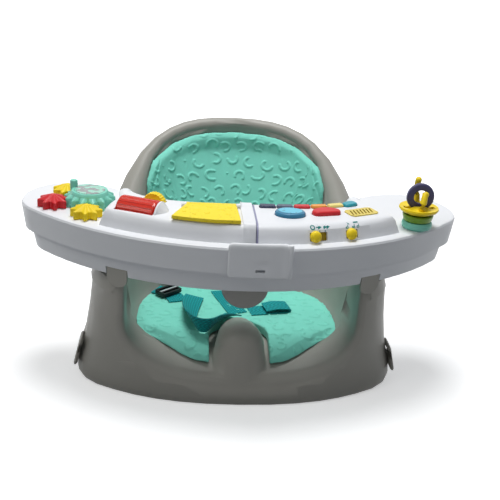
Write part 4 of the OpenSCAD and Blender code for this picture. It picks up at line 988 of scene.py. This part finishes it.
@dataclass
class LeftPod(Maker):
    """The left toy pod: a gear train, a clear roller with beads, a ridged wheel and a flap over a mirror."""

    body: str = "pod_left"
    deck_mm: float = 210.0
    # The gears: a tooth's length round the pitch circle, the large gear's axis, and one tooth's
    # corners, each a share of its angle and a height over the pitch circle.
    tooth_mm: float = 12.0
    gear_mm: tuple[float, float] = (-181.0, -62.0)
    tooth: tuple[tuple[float, float], ...] = (
        (-0.42, -3.4), (-0.115, 1.9), (-0.055, 2.8), (0.055, 2.8), (0.115, 1.9), (0.42, -3.4))
    # The roller: its middle, its radius and half length, and the beads' size, number and radius.
    roller_mm: tuple[float, float, float] = (-121.0, -120.0, 222.0)
    drum_mm: tuple[float, float] = (17.5, 23.0)
    bead_mm: float = 3.0
    beads: int = 34
    heap_mm: float = 10.6
    flap_z_mm: tuple[float, float] = (229.3, 233.3)
    # How far the end block stands over the deck, and how far the pod does there.
    block_mm: tuple[float, float] = (21.3, 19.0)

    def build(self) -> None:
        """Makes the pod and its toys."""
        self.soften("pod_left", Finish.WHITE, "white_plastic", 0.6)
        self.dress(Finish.WHITE, "pod_left_cover", "gear_posts")
        self.gears()
        self.dress(Finish.PRINT, "gear_disc")
        self.roller()
        self.soften("ridged_wheel", Finish.YELLOW, "yellow_plastic", 0.4, 20, "ridged_wheel")
        self.flap()
        self.dress(Finish.STEEL, "roller_axle", "wheel_axle", "flap_pin")
        self.dress(Finish.MIRROR, "flap_mirror")
        self.end_block()

    def star(self, count: int, levels: Sequence[tuple[float, float, float]], at: tuple[float, float],
             turn: float = 0.0) -> bmesh.types.BMesh:
        """Stacks a star-shaped gear.

        Args:
            count: how many teeth it has.
            levels: height, how far in the teeth are, and the radius where the level is round, or 0.
            at: the gear's axis, in millimetres.
            turn: the angle of its first tooth.

        Returns:
            The gear.
        """
        pitch = count * self.tooth_mm / math.tau
        points = [(pitch + out, (k + share) * math.tau / count + turn)
                  for k in range(count) for share, out in self.tooth]
        rings = []
        for up, inset, even in levels:
            radii = [even or r - inset for r, _ in points]
            rings.append([mm(at[0] + r * math.cos(a), at[1] + r * math.sin(a), self.deck_mm + 0.3 + up)
                          for r, (_, a) in zip(radii, points)])
        return stack(rings)

    def gears(self) -> None:
        """The four gears: stars whose teeth run up into a low cone, the large one with a peg."""
        x, y = self.gear_mm
        many, few = 14, 8
        wheel = self.star(many, ((0, 0.7, 0), (0.8, 0, 0), (10.2, 0, 0), (11, 0.7, 0), (14, 0, 22.3),
                                 (17.5, 0, 20.9), (18, 0, 20.4), (18, 0, 17.8), (17.3, 0, 17.6)), (x, y))
        peg = turned([(0, 11), (4.5, 11), (4.5, 24.6), (4.2, 25.4), (3.4, 26), (0, 26.1)], 32)
        away, a = 22.4, math.radians(150)
        put(peg, shift(x + away * math.cos(a), y + away * math.sin(a), self.deck_mm + 0.3))
        self.place(joined((wheel, peg)), "gear_large_star", Finish.MINT, "mint_plastic", ["gear_large"], 30,
                   body="gear_large")
        reach = (many + few) * self.tooth_mm / math.tau
        for node, phi, finish, slot in (("gear_red", 193.4, Finish.RED, "red_plastic"),
                                        ("gear_yellow_back", 133.4, Finish.YELLOW, "yellow_plastic"),
                                        ("gear_yellow_front", 270, Finish.YELLOW, "yellow_plastic")):
            a = math.radians(phi)
            at = (x + reach * math.cos(a), y + reach * math.sin(a))
            # A gap of the small gear faces a tooth of the large one.
            turn = a + math.pi + math.pi / few + a * many / few
            gear = self.star(few, ((0, 0.6, 0), (0.7, 0, 0), (8.2, 0, 0), (9, 0.6, 0), (14.2, 0, 3.2),
                                   (14.5, 0, 2.4)), at, turn)
            self.place(gear, node + "_star", finish, slot, [node], 15, body=node)

    def roller(self) -> None:
        """The clear red drum: fluted outside, hollow, with loose beads in it."""
        to = shift(*self.roller_mm) @ Matrix.Rotation(-math.asin(121 / 307), 4, "Z") @ swing(90, "Y")
        r, half = self.drum_mm
        steps, wall = 144, 3.2

        def ring(z: float, radius: float, flute: float = 0.0) -> list[Vector]:
            """One level of the drum, its flutes 6 steps apart."""
            radii = [radius - flute * (k % 6 in (2, 3)) for k in range(steps)]
            return [to @ mm(out * math.cos(math.tau * k / steps), out * math.sin(math.tau * k / steps), z)
                    for k, out in enumerate(radii)]

        skin = stack([ring(-half, r - 2), ring(1.2 - half, r - 0.3), ring(2.4 - half, r),
                      ring(2.6 - half, r, 0.6), ring(half - 2.6, r, 0.6), ring(half - 2.4, r),
                      ring(half - 1.2, r - 0.3), ring(half, r - 2)])
        cave = stack([ring(2.5 - half, r - wall), ring(half - 2.5, r - wall)])
        bmesh.ops.reverse_faces(cave, faces=cave.faces)
        self.place(joined((skin, cave)), "roller_fluted", Finish.CLEAR_RED, "clear_red", ["roller_drum"], 30,
                   body="roller")
        spread = np.random.default_rng(7)
        beads = []
        for k in range(self.beads):
            bm = bmesh.new()
            bmesh.ops.create_icosphere(bm, subdivisions=2, radius=self.bead_mm * MM)
            turn = spread.uniform(0, math.tau)
            along = (k / (self.beads - 1) - 0.5) * (2 * half - 12)
            across = self.heap_mm * math.cos(turn), self.heap_mm * math.sin(turn)
            beads.append(put(bm, to @ shift(*across, along)))
        self.place(joined(beads), "roller_bead_heap", Finish.BEAD, "yellow_plastic", ["roller_beads"], 60,
                   body="roller")

    def flap(self) -> None:
        """The textured flap with its rounded edges, the barrel of its hinge and its round bosses."""
        low, high = self.flap_z_mm
        # The front edge follows an arc of 317 mm, and is cut straight at its left end.
        edge = [(x, max(-165.0, 150 - math.sqrt(317 ** 2 - x * x))) for x in np.linspace(-85.5, -10.6, 22)]
        outline = [(-12.8, -114.2), (-13.4, -113.6), (-68.4, -113.6), (-69.4, -114.4), *edge]
        plate = stack([[mm(x, y, z) for x, y in outline] for z in (low, high)])
        barrel = turned([(0, -28), (2.9, -28), (3.3, -27.6), (3.3, 27.6), (2.9, 28), (0, 28)], 32)
        put(barrel, shift(-41, -111, 230.5) @ swing(90, "Y"))
        self.place(joined((plate, barrel)), "flap_plate", Finish.FLAP, "yellow_plastic", ["flap"], 35, 1.1,
                   "flap")
        bosses = []
        for x, y, r in ((-70, -126, 3.4), (-58, -132, 5.2), (-44, -124, 3.0), (-31, -131, 4.6),
                        (-21, -124, 2.8), (-72, -140, 2.6), (-47, -143, 3.6), (-24, -145, 3.2),
                        (-61, -148, 2.4)):
            boss = turned([(0, 0.75), (r * 0.5, 0.66), (r * 0.8, 0.4), (r, -0.1), (r, -0.6), (0, -0.6)], 28)
            bosses.append(put(boss, shift(x, y, high)))
        self.place(joined(bosses), "flap_bosses", Finish.FLAP, "yellow_plastic", (), 60, body="flap")

    def end_block(self) -> None:
        """The raised block beside the seam, a little higher and further out than the pod."""
        bm = self.slice_of("pod_left", -8, 9, self.deck_mm - 0.5)
        block, pod = self.block_mm
        for v in bm.verts:
            up = v.co.z / MM - self.deck_mm
            if up > 0:
                v.co.z = (self.deck_mm + up * block / pod) * MM
            if v.co.y < -0.13:
                v.co.y -= 0.25 * MM
        self.place(bm, "pod_left_end_block", Finish.WHITE, "white_plastic", (), 35, 0.9)


# ------------------------------------------------------------------ right pod


@dataclass
class RightPod(Maker):
    """The right toy pod: keys, lit buttons, a speaker, two slide switches and the front clip."""

    body: str = "pod_right"
    arc_mm: float = 337.0
    arc_centre_mm: float = 150.0
    ledge_mm: float = 12.0
    deck_mm: float = 210.0
    slope: float = math.atan2(5.5, 14)
    # How high over the deck the switches and the marks stand.
    switch_up_mm: float = 7.0
    marks_up_mm: float = 16.6
    # The front clip's lower and upper edge, its left and right end, its corners and its hinge.
    clip_z_mm: tuple[float, float] = (176.0, 216.0)
    clip_x_mm: tuple[float, float] = (-24.2, 42.2)
    clip_corner_mm: float = 5.0
    clip_pin_mm: tuple[float, float] = (42.4, -188.1)

    def on_slope(self, x: float, up: float) -> Matrix:
        """A place on the deck's sloped front.

        Args:
            x: how far to the right, in millimetres.
            up: how high over the deck, in millimetres.

        Returns:
            A matrix whose local Z points out of the slope, and whose local Y points up it.
        """
        r = self.arc_mm - self.ledge_mm - up * math.tan(self.slope)
        return (shift(0, self.arc_centre_mm, 0) @ Matrix.Rotation(math.asin(x / r), 4, "Z")
                @ shift(0, -r, self.deck_mm + up) @ Matrix.Rotation(-self.slope, 4, "X") @ swing(90, "X"))

    def build(self) -> None:
        """Makes the pod and its toys."""
        self.soften("pod_right", Finish.WHITE, "white_plastic", 0.6)
        self.dress(Finish.WHITE, "pod_right_cover", "battery_door", "spinner_post")
        for node, finish, slot in (
                ("key_navy", Finish.NAVY, "navy_plastic"),
                ("key_slate", Finish.SLATE, "slate_plastic"),
                ("key_red", Finish.RED, "red_plastic"),
                ("key_orange", Finish.ORANGE, "orange_plastic"),
                ("key_yellow", Finish.PALE, "pale_yellow_plastic"),
                ("button_blue", Finish.BLUE, "blue_plastic"),
                ("button_red", Finish.RED, "red_plastic"),
                ("button_teal", Finish.TEAL, "teal_plastic")):
            self.soften(node, finish, slot, 0.4, 35, node)
        self.soften("speaker_grille", Finish.GOLD, "gold_plastic", 0.3)
        self.dress(Finish.CONE, "speaker")
        self.dress(Finish.BOARD, "circuit_board")
        self.clip()
        self.dress(Finish.STEEL, "clip_pin")
        self.switch_beds()
        self.knobs()
        self.print_on("button_blue", (47, -128), (13.8, 9.4), Finish.SKY, "blue_plastic")
        # A slate-blue strip beside the seam, as painted shade of the chamfer and gap there.
        self.painted_seam_shade()
        self.icons()

    def clip_ring(self, inset: float, out: float) -> list[Vector]:
        """One rounded rectangle of the front clip, bent round the pod's arc.

        Args:
            inset: how far it is in from the plate's edge.
            out: how far it is out from the plate's back.

        Returns:
            The rectangle's points.
        """
        back = self.arc_mm + 0.4
        (left, right), (low, high) = self.clip_x_mm, self.clip_z_mm
        corner = max(self.clip_corner_mm - inset, 0.05)
        wide, tall = (right - left) / 2 - inset - corner, max((high - low) / 2 - inset - corner, 0.0)
        found = []
        for sx, sz, first in ((1, 1, 0), (-1, 1, 90), (-1, -1, 180), (1, -1, 270)):
            for k in range(7):
                a = math.radians(first + 15 * k)
                found.append((sx * wide + corner * math.cos(a), sz * tall + corner * math.sin(a)))
            if first in (0, 180):
                found += [(sx * wide * (1 - k / 8), sz * (tall + corner)) for k in range(1, 16)]
        points = []
        for x, z in found:
            # The top edge is rounded off more, the right part stands out, and its end meets the hinge.
            z -= min(inset, 2.6) * 1.3 * max(0.0, z / ((high - low) / 2))
            x, z = x + (left + right) / 2, z + (low + high) / 2
            step = 0.8 * ease((x - 16) / 2.6) + 2.3 * ease((x - 33) / 8.5)
            r = back + out + step * (out > 1)
            points.append(mm(r * math.sin(x / back), self.arc_centre_mm - r * math.cos(x / back), z))
        return points

    def clip(self) -> None:
        """The front clip: a plate with rounded corners, a step and a slot, and its hinge's barrel."""
        plate = stack([self.clip_ring(inset, out) for inset, out in (
            (0, 0), (0, 1.3), (0.25, 2.2), (0.8, 2.9), (1.6, 3.4), (2.6, 3.6), (6, 3.6), (12, 3.6),
            (18.4, 3.6))])
        piece = self.place(plate, "front_clip_plate", Finish.WHITE, "white_plastic", ["front_clip"], 30,
                           body="front_clip")
        barrel = turned([(0, 176.5), (2.6, 176.5), (3.5, 177.6), (3.5, 214.0), (2.6, 215.3), (0, 215.3)], 40)
        put(barrel, shift(*self.clip_pin_mm, 0))
        self.place(barrel, "front_clip_barrel", Finish.WHITE, "white_plastic", (), 40, body="front_clip")
        slot = bmesh.new()
        bmesh.ops.create_cube(slot, size=1.0)
        put(slot, shift(11, -190, 185.2) @ Matrix.Diagonal((*mm(10.4, 12, 3.4), 1.0)))
        tool = bpy.data.objects.new("slot", bpy.data.meshes.new("slot"))
        slot.to_mesh(tool.data)
        slot.free()
        bpy.context.scene.collection.objects.link(tool)
        cut = piece.modifiers.new("slot", "BOOLEAN")
        cut.object, cut.solver = tool, "EXACT"
        bpy.context.view_layer.update()
        baked(piece)
        bpy.data.objects.remove(tool)

    def knobs(self) -> None:
        """The domed knobs of the two slide switches, with a low ridge round each."""
        for node, x in (("switch_volume", 71.8), ("switch_mode", 113.6)):
            knob = turned([(0, -3), (5.6, -3), (6.2, -0.6), (6.6, 0.4), (6.6, 1.2), (6.3, 2.5), (5.7, 3.1),
                           (5.5, 3.9), (4.3, 4.8), (2.6, 5.4), (0, 5.6)], 48)
            put(knob, self.on_slope(x, self.switch_up_mm))
            self.place(knob, node + "_knob", Finish.YELLOW, "yellow_plastic", [node], 50, body=node)

    def print_on(self, node: str, middle: tuple[float, float], half: tuple[float, float], finish: Finish,
                 slot: str) -> None:
        """Lays an oval print on a button's domed top.

        Args:
            node: the button's CAD node.
            middle: the oval's middle, in millimetres.
            half: half its width and half its depth, in millimetres.
            finish: the print's finish.
            slot: the record's material slot.
        """
        bm = bmesh.new()
        bmesh.ops.create_circle(bm, cap_ends=True, cap_tris=True, segments=32, radius=1.0)
        for _ in range(3):
            bmesh.ops.subdivide_edges(bm, edges=bm.edges, cuts=1, use_grid_fill=True)
        for v in bm.verts:
            v.co = mm(middle[0] + v.co.x * half[0], middle[1] + v.co.y * half[1], 240)
        lay_on(bm, surface_of(node), DOWN, 0.15)
        self.place(bm, node + "_print", finish, slot, body=node)

    def painted_seam_shade(self) -> None:
        """Lays a slate-blue strip, 0.18 mm proud, over the pod's end beside the seam: painted shade of the
        chamfer and gap there.
        """
        bm = self.slice_of("pod_right", 6.2, 8.3, self.deck_mm - 0.5)
        bm.normal_update()
        for v in bm.verts:
            v.co += v.normal * 0.18 * MM
        self.place(bm, "pod_right_painted_seam_shade", Finish.SEAM, "white_plastic", (), 35)

    def switch_beds(self) -> None:
        """The dark yellow floors of the two switch recesses."""
        for name, x, width in (("volume", 75.5, 21.0), ("mode", 114.5, 15.0)):
            bm = bmesh.new()
            bmesh.ops.create_cube(bm, size=1.0)
            bmesh.ops.scale(bm, verts=bm.verts, vec=mm(width - 0.2, 9.4, 0.8))
            corners = [e for e in bm.edges if abs((e.verts[0].co - e.verts[1].co).z) > 0.01 * MM]
            bmesh.ops.bevel(bm, geom=corners, offset=1.2 * MM, segments=4, profile=0.5, affect="EDGES",
                            material=-1)
            put(bm, self.on_slope(x, self.switch_up_mm) @ shift(0, 0, -4.4))
            self.place(bm, f"switch_bed_{name}", Finish.RECESS, "yellow_plastic")

    def mark(self, name: str, shapes: list[bmesh.types.BMesh]) -> None:
        """Prints flat shapes on the slope, as one piece.

        Args:
            name: the piece's name.
            shapes: the shapes; they are freed.
        """
        whole = joined(shapes)
        towards = (self.on_slope(95, 12).to_3x3() @ DOWN).normalized()
        lay_on(whole, surface_of("pod_right"), towards, 0.12)
        self.place(whole, name, Finish.INK, "teal_plastic")

    def flat_ring(self, outer: float, inner: float, to: Matrix, parts: int = 24) -> bmesh.types.BMesh:
        """Makes a flat ring, or a disc.

        Args:
            outer: its radius, in millimetres.
            inner: the hole's radius, or 0 for a disc.
            to: its place.
            parts: how many sides it has.

        Returns:
            The shape.
        """
        bm = bmesh.new()
        bmesh.ops.create_circle(bm, cap_ends=True, segments=parts, radius=outer * MM)
        if inner:
            made = bmesh.ops.inset_individual(bm, faces=bm.faces[:], thickness=(outer - inner) * MM,
                                              use_even_offset=True)
            middle = [f for f in bm.faces if f not in made["faces"]]
            bmesh.ops.delete(bm, geom=middle, context="FACES")
        return put(bm, to)

    def flat_shape(self, corners: Sequence[tuple[float, float]], to: Matrix) -> bmesh.types.BMesh:
        """Makes a flat polygon.

        Args:
            corners: its corners, in millimetres.
            to: its place.

        Returns:
            The shape.
        """
        bm = bmesh.new()
        bm.faces.new([bm.verts.new(mm(x, y, 0)) for x, y in corners])
        bmesh.ops.triangulate(bm, faces=bm.faces)
        bmesh.ops.subdivide_edges(bm, edges=bm.edges, cuts=1, use_grid_fill=True)
        return put(bm, to)

    def icons(self) -> None:
        """An off ring, one and two arrows over their ticks, and one note and a pair of notes."""
        up = self.marks_up_mm
        arrow = [(-1.9, -2.6), (2.5, 0), (-1.9, 2.6)]
        bar = [(-4.0, -0.6), (-1.7, -0.6), (-1.7, 0.6), (-4.0, 0.6)]
        tick = [(-0.45, -0.9), (0.45, -0.9), (0.45, 0.9), (-0.45, 0.9)]
        off, slow, fast, faster = (self.on_slope(x, up) for x in (68.6, 76.4, 82.6, 86.0))
        arrows = [self.flat_shape(shape, to) for shape, to in (
            (arrow, slow), (bar, slow), (arrow, fast), (arrow, faster))]
        ticks = [self.flat_shape(tick, self.on_slope(x, up - 4.1)) for x in (71.4, 76.4, 82.6)]
        self.mark("volume_marks", [self.flat_ring(2.9, 1.6, off), *arrows, *ticks])
        stem = [(1.0, 0), (1.8, 0), (1.8, 5.6), (1.0, 5.6)]
        tail = [(1.8, 5.6), (3.9, 3.9), (3.5, 2.9), (1.8, 4.1)]
        beam = [(1.0, 5.8), (7.0, 5.8), (7.0, 4.4), (1.0, 4.4)]
        oval = Matrix.Scale(0.75, 4, (0, 1, 0))
        notes = []
        for x, parts in ((108.4, (stem, tail)), (116.2, (stem, beam)), (121.4, (stem,))):
            to = self.on_slope(x, up - 2.6)
            notes += [self.flat_ring(1.8, 0, to @ oval), *(self.flat_shape(part, to) for part in parts)]
        self.mark("music_marks", notes)


# ------------------------------------------------------------------ spinner


@dataclass
class Spinner(Maker):
    """The spinner on the right lobe: a base, a green ring, a saucer with arms and a ribbed hoop."""

    body: str = "pod_right"
    hoop_mm: tuple[float, float, float] = (200.0, -103.0, 247.6)
    hoop_r_mm: float = 16.0
    arm_r_mm: float = 3.7
    # The hoop's tyre: half its width, how many ribs and gaps it has, and how deep the gaps are.
    tyre_half_mm: float = 2.2
    tyre_steps: int = 120
    gap_share: float = 0.975

    def build(self) -> None:
        """Makes the spinner's pieces."""
        self.ring("spinner_base", 210.2, [(14, 0), (15.6, 0), (17.2, 1.4), (17.6, 4), (17.4, 7), (16.2, 8.4),
                                          (12.5, 8.6)], Finish.MINT, "mint_plastic", "pod_right")
        self.ring("spinner_green", 219.1, [(13.5, 0.4), (16.2, 0.9), (17.2, 4), (18, 7.2), (17.2, 8.2)],
                  Finish.GREEN, "green_plastic", "spinner_green")
        self.soften("spinner_saucer", Finish.YELLOW, "yellow_plastic", 0.4, 40, "spinner_saucer")
        self.arms()
        self.soften("spinner_hoop", Finish.PURPLE, "purple_plastic", 0.3, body="spinner_hoop")
        self.tyre()

    def ring(self, node: str, low_mm: float, outside: list[tuple[float, float]], finish: Finish, slot: str,
             body: str) -> None:
        """Makes one of the turned rings below the saucer, open in its middle for the post.

        Args:
            node: the CAD node it replaces.
            low_mm: the height of its underside.
            outside: radius and height of its outer side, in millimetres.
            finish: its finish.
            slot: the record's material slot.
            body: the body it rides.
        """
        post, foot = 3.6, 0.3
        bm = turned([(post, foot), *outside, (post, outside[-1][1]), (post, foot)], 72)
        put(bm, shift(self.hoop_mm[0], self.hoop_mm[1], low_mm))
        self.place(bm, node + "_turned", finish, slot, [node], 40, body=body)

    def arms(self) -> None:
        """The saucer's two thick curved arms, one before the hoop and one behind and over it."""
        routes = {
            "front": ((0, -9.5, -15), (0.5, -12.5, -10), (1, -12.5, -5), (2, -10.2, 0), (3, -7.6, 3.2),
                      (4.2, -6.8, 4.6)),
            "back": ((0, 9.5, -15), (-0.5, 11.5, -9), (-1, 12.9, -1), (-1.5, 13.1, 7), (-2, 10.9, 14),
                     (-2.4, 7.9, 18))}
        r, sides = self.arm_r_mm, 20
        circle = [mm(r * math.cos(math.tau * k / sides), r * math.sin(math.tau * k / sides), 0)
                  for k in range(sides)]
        for name, route in routes.items():
            path = [mm(*self.hoop_mm) + mm(*point) for point in route]
            rings = []
            for k, at in enumerate(path):
                along = (path[min(k + 1, len(path) - 1)] - path[max(k - 1, 0)]).normalized()
                turn = along.to_track_quat("Z", "X").to_matrix()
                rings.append([at + turn @ c for c in circle])
            # The last rings round off the tip.
            for up, share in ((1.6, 0.9), (2.7, 0.66), (3.2, 0.3)):
                rings.append([at + turn @ (c * share + mm(0, 0, up)) for c in circle])
            self.place(stack(rings), f"saucer_arm_{name}", Finish.YELLOW, "yellow_plastic", (), 60,
                       body="spinner_saucer")

    def tyre(self) -> None:
        """The lilac tyre of the hoop, with fine ribs across it."""
        bm = bmesh.new()
        half, r, steps = self.tyre_half_mm, self.hoop_r_mm, self.tyre_steps
        profile = [(r - 0.9, -half), (r + 0.15, 0.3 - half), (r + 0.3, 0), (r + 0.15, half - 0.3),
                   (r - 0.9, half)]
        verts = [bm.verts.new(mm(x, y, 0)) for x, y in profile]
        edges = [bm.edges.new(pair) for pair in zip(verts, verts[1:])]
        bmesh.ops.spin(bm, geom=verts + edges, cent=(0, 0, 0), axis=(0, 1, 0), dvec=(0, 0, 0),
                       angle=math.tau, steps=steps, use_merge=True)
        bmesh.ops.remove_doubles(bm, verts=bm.verts, dist=WELD)
        for v in bm.verts:
            rib = round(math.atan2(v.co.z, v.co.x) / math.tau * steps) % 2
            if rib and math.hypot(v.co.x, v.co.z) > (r - 0.5) * MM:
                v.co = Vector((v.co.x * self.gap_share, v.co.y, v.co.z * self.gap_share))
        bmesh.ops.recalc_face_normals(bm, faces=bm.faces)
        self.place(put(bm, shift(*self.hoop_mm)), "hoop_tyre", Finish.LILAC, "purple_plastic",
                   body="spinner_hoop")


# ------------------------------------------------------------------ studio


@dataclass
class Studio:
    """The camera at the photograph's angle, a pale floor and soft lamps; angles in radians, metres."""

    yaw: float = math.radians(-5.56)
    rise: float = math.radians(21.60)
    roll: float = math.radians(3.81)
    distance: float = 1.159
    target: tuple[float, float, float] = (0.017, 0.0, 0.134)
    lens_mm: float = 64.8
    # The strength of the world's light, and how far out the floor's shadow ends, and how dark it is.
    world: float = 0.27
    shadow: tuple[float, float] = (0.3, 0.9)
    shade: float = 0.42

    def camera(self) -> None:
        """Places the camera."""
        back = Vector((math.sin(self.yaw) * math.cos(self.rise), -math.cos(self.yaw) * math.cos(self.rise),
                       math.sin(self.rise)))
        right = Vector((math.cos(self.yaw), math.sin(self.yaw), 0))
        up = back.cross(right)
        c, s = math.cos(self.roll), math.sin(self.roll)
        facing = Matrix((right * c + up * s, up * c - right * s, back)).transposed().to_4x4()
        data = bpy.data.cameras.new("camera")
        data.lens, data.sensor_width, data.clip_start = self.lens_mm, 36.0, 0.01
        camera = bpy.data.objects.new("camera", data)
        camera.matrix_world = Matrix.Translation(Vector(self.target) + back * self.distance) @ facing
        bpy.context.scene.collection.objects.link(camera)
        bpy.context.scene.camera = camera

    def lamp(self, name: str, at: Sequence[float], size: float, watts: float, tint: str = "#ffffff") -> None:
        """Adds a soft area lamp that looks at the seat.

        Args:
            name: the lamp's name.
            at: its place, in metres.
            size: its width, in metres.
            watts: its power.
            tint: its colour.
        """
        data = bpy.data.lights.new(name, "AREA")
        data.shape, data.size, data.energy = "DISK", size, watts
        data.color = linear(tint)[:3]
        lamp = bpy.data.objects.new(name, data)
        lamp.location = at
        lamp.rotation_euler = (Vector((0, 0, 0.15)) - Vector(at)).to_track_quat("-Z", "Y").to_euler()
        bpy.context.scene.collection.objects.link(lamp)

    def seen_white(self, tree: bpy.types.NodeTree, shown: bpy.types.NodeSocket,
                   lit: bpy.types.NodeSocket) -> bpy.types.NodeSocket:
        """Mixes what the camera, gloss and glass see with what lights the scene.

        Args:
            tree: the world's or the floor's tree.
            shown: the shader that is seen.
            lit: the shader that lights the scene.

        Returns:
            The mixed shader's socket.
        """
        path = add(tree, "ShaderNodeLightPath").outputs
        seen = path["Is Camera Ray"]
        for kind in ("Is Glossy Ray", "Is Transmission Ray"):
            seen = add(tree, "ShaderNodeMath", {0: seen, 1: path[kind]}, operation="ADD",
                       use_clamp=True).outputs[0]
        return add(tree, "ShaderNodeMixShader", {0: seen, 1: lit, 2: shown}).outputs[0]

    def sky(self) -> None:
        """Sets up the world: a soft even light that is seen as white."""
        scene = bpy.context.scene
        scene.world = scene.world or bpy.data.worlds.new("world")
        scene.world.use_nodes = True
        tree = scene.world.node_tree
        tree.nodes.clear()
        shown = add(tree, "ShaderNodeBackground", {"Color": (1, 1, 1, 1), "Strength": 1.0})
        lit = add(tree, "ShaderNodeBackground", {"Color": linear("#eef2f6"), "Strength": self.world})
        mixed = self.seen_white(tree, shown.outputs[0], lit.outputs[0])
        add(tree, "ShaderNodeOutputWorld", {"Surface": mixed})

    def floor(self) -> None:
        """Lays the pale floor: seen white far out, it keeps the seat's shadow near it."""
        bm = bmesh.new()
        bmesh.ops.create_grid(bm, x_segments=1, y_segments=1, size=6.0)
        mesh = bpy.data.meshes.new("floor")
        bm.to_mesh(mesh)
        bm.free()
        mat = bpy.data.materials.new("pale_floor")
        mat.use_nodes = True
        tree = mat.node_tree
        base = tree.nodes["Principled BSDF"]
        feed(tree, base, {"Base Color": linear("#f4f5f6"), "Roughness": 0.8})
        at = add(tree, "ShaderNodeTexCoord").outputs["Object"]
        far = add(tree, "ShaderNodeVectorMath", {0: at}, operation="LENGTH")
        near, end = self.shadow
        level = add(tree, "ShaderNodeMapRange", {"Value": far.outputs["Value"], "From Min": near,
                                                 "From Max": end, "To Min": self.shade, "To Max": 1.0})
        glow = add(tree, "ShaderNodeEmission", {"Color": (1, 1, 1, 1), "Strength": level.outputs["Result"]})
        both = add(tree, "ShaderNodeAddShader", {0: base.outputs[0], 1: glow.outputs[0]})
        # A duller floor throws less light back up at the seat.
        dull = add(tree, "ShaderNodeBsdfDiffuse", {"Color": linear("#8f9193")})
        feed(tree, tree.nodes["Material Output"], {
            "Surface": self.seen_white(tree, both.outputs[0], dull.outputs[0])})
        mesh.materials.append(mat)
        floor = bpy.data.objects.new("floor", mesh)
        bpy.context.scene.collection.objects.link(floor)

    def build(self) -> None:
        """Sets up the camera, the world, the floor and the lamps."""
        bpy.context.scene.view_settings.view_transform = "Standard"
        self.camera()
        self.sky()
        self.floor()
        self.lamp("key", (-1.2, -0.8, 1.6), 0.8, 6, "#fffdf8")
        self.lamp("fill", (1.2, -1.2, 0.9), 1.2, 0.5, "#f2f6ff")
        self.lamp("top", (-0.05, 0.2, 1.8), 0.8, 23)


def main() -> None:
    """Builds every sub-assembly in order."""
    logging.basicConfig(level=logging.INFO, format="%(name)s %(message)s")
    Studio().build()
    for part in (Shell(), FoamPads(), Harness(), Tray(), LeftPod(), RightPod(), Spinner()):
        part.build()
        LOG.info("%s done", type(part).__name__)
    bpy.context.view_layer.update()


if __name__ == "__main__":
    main()
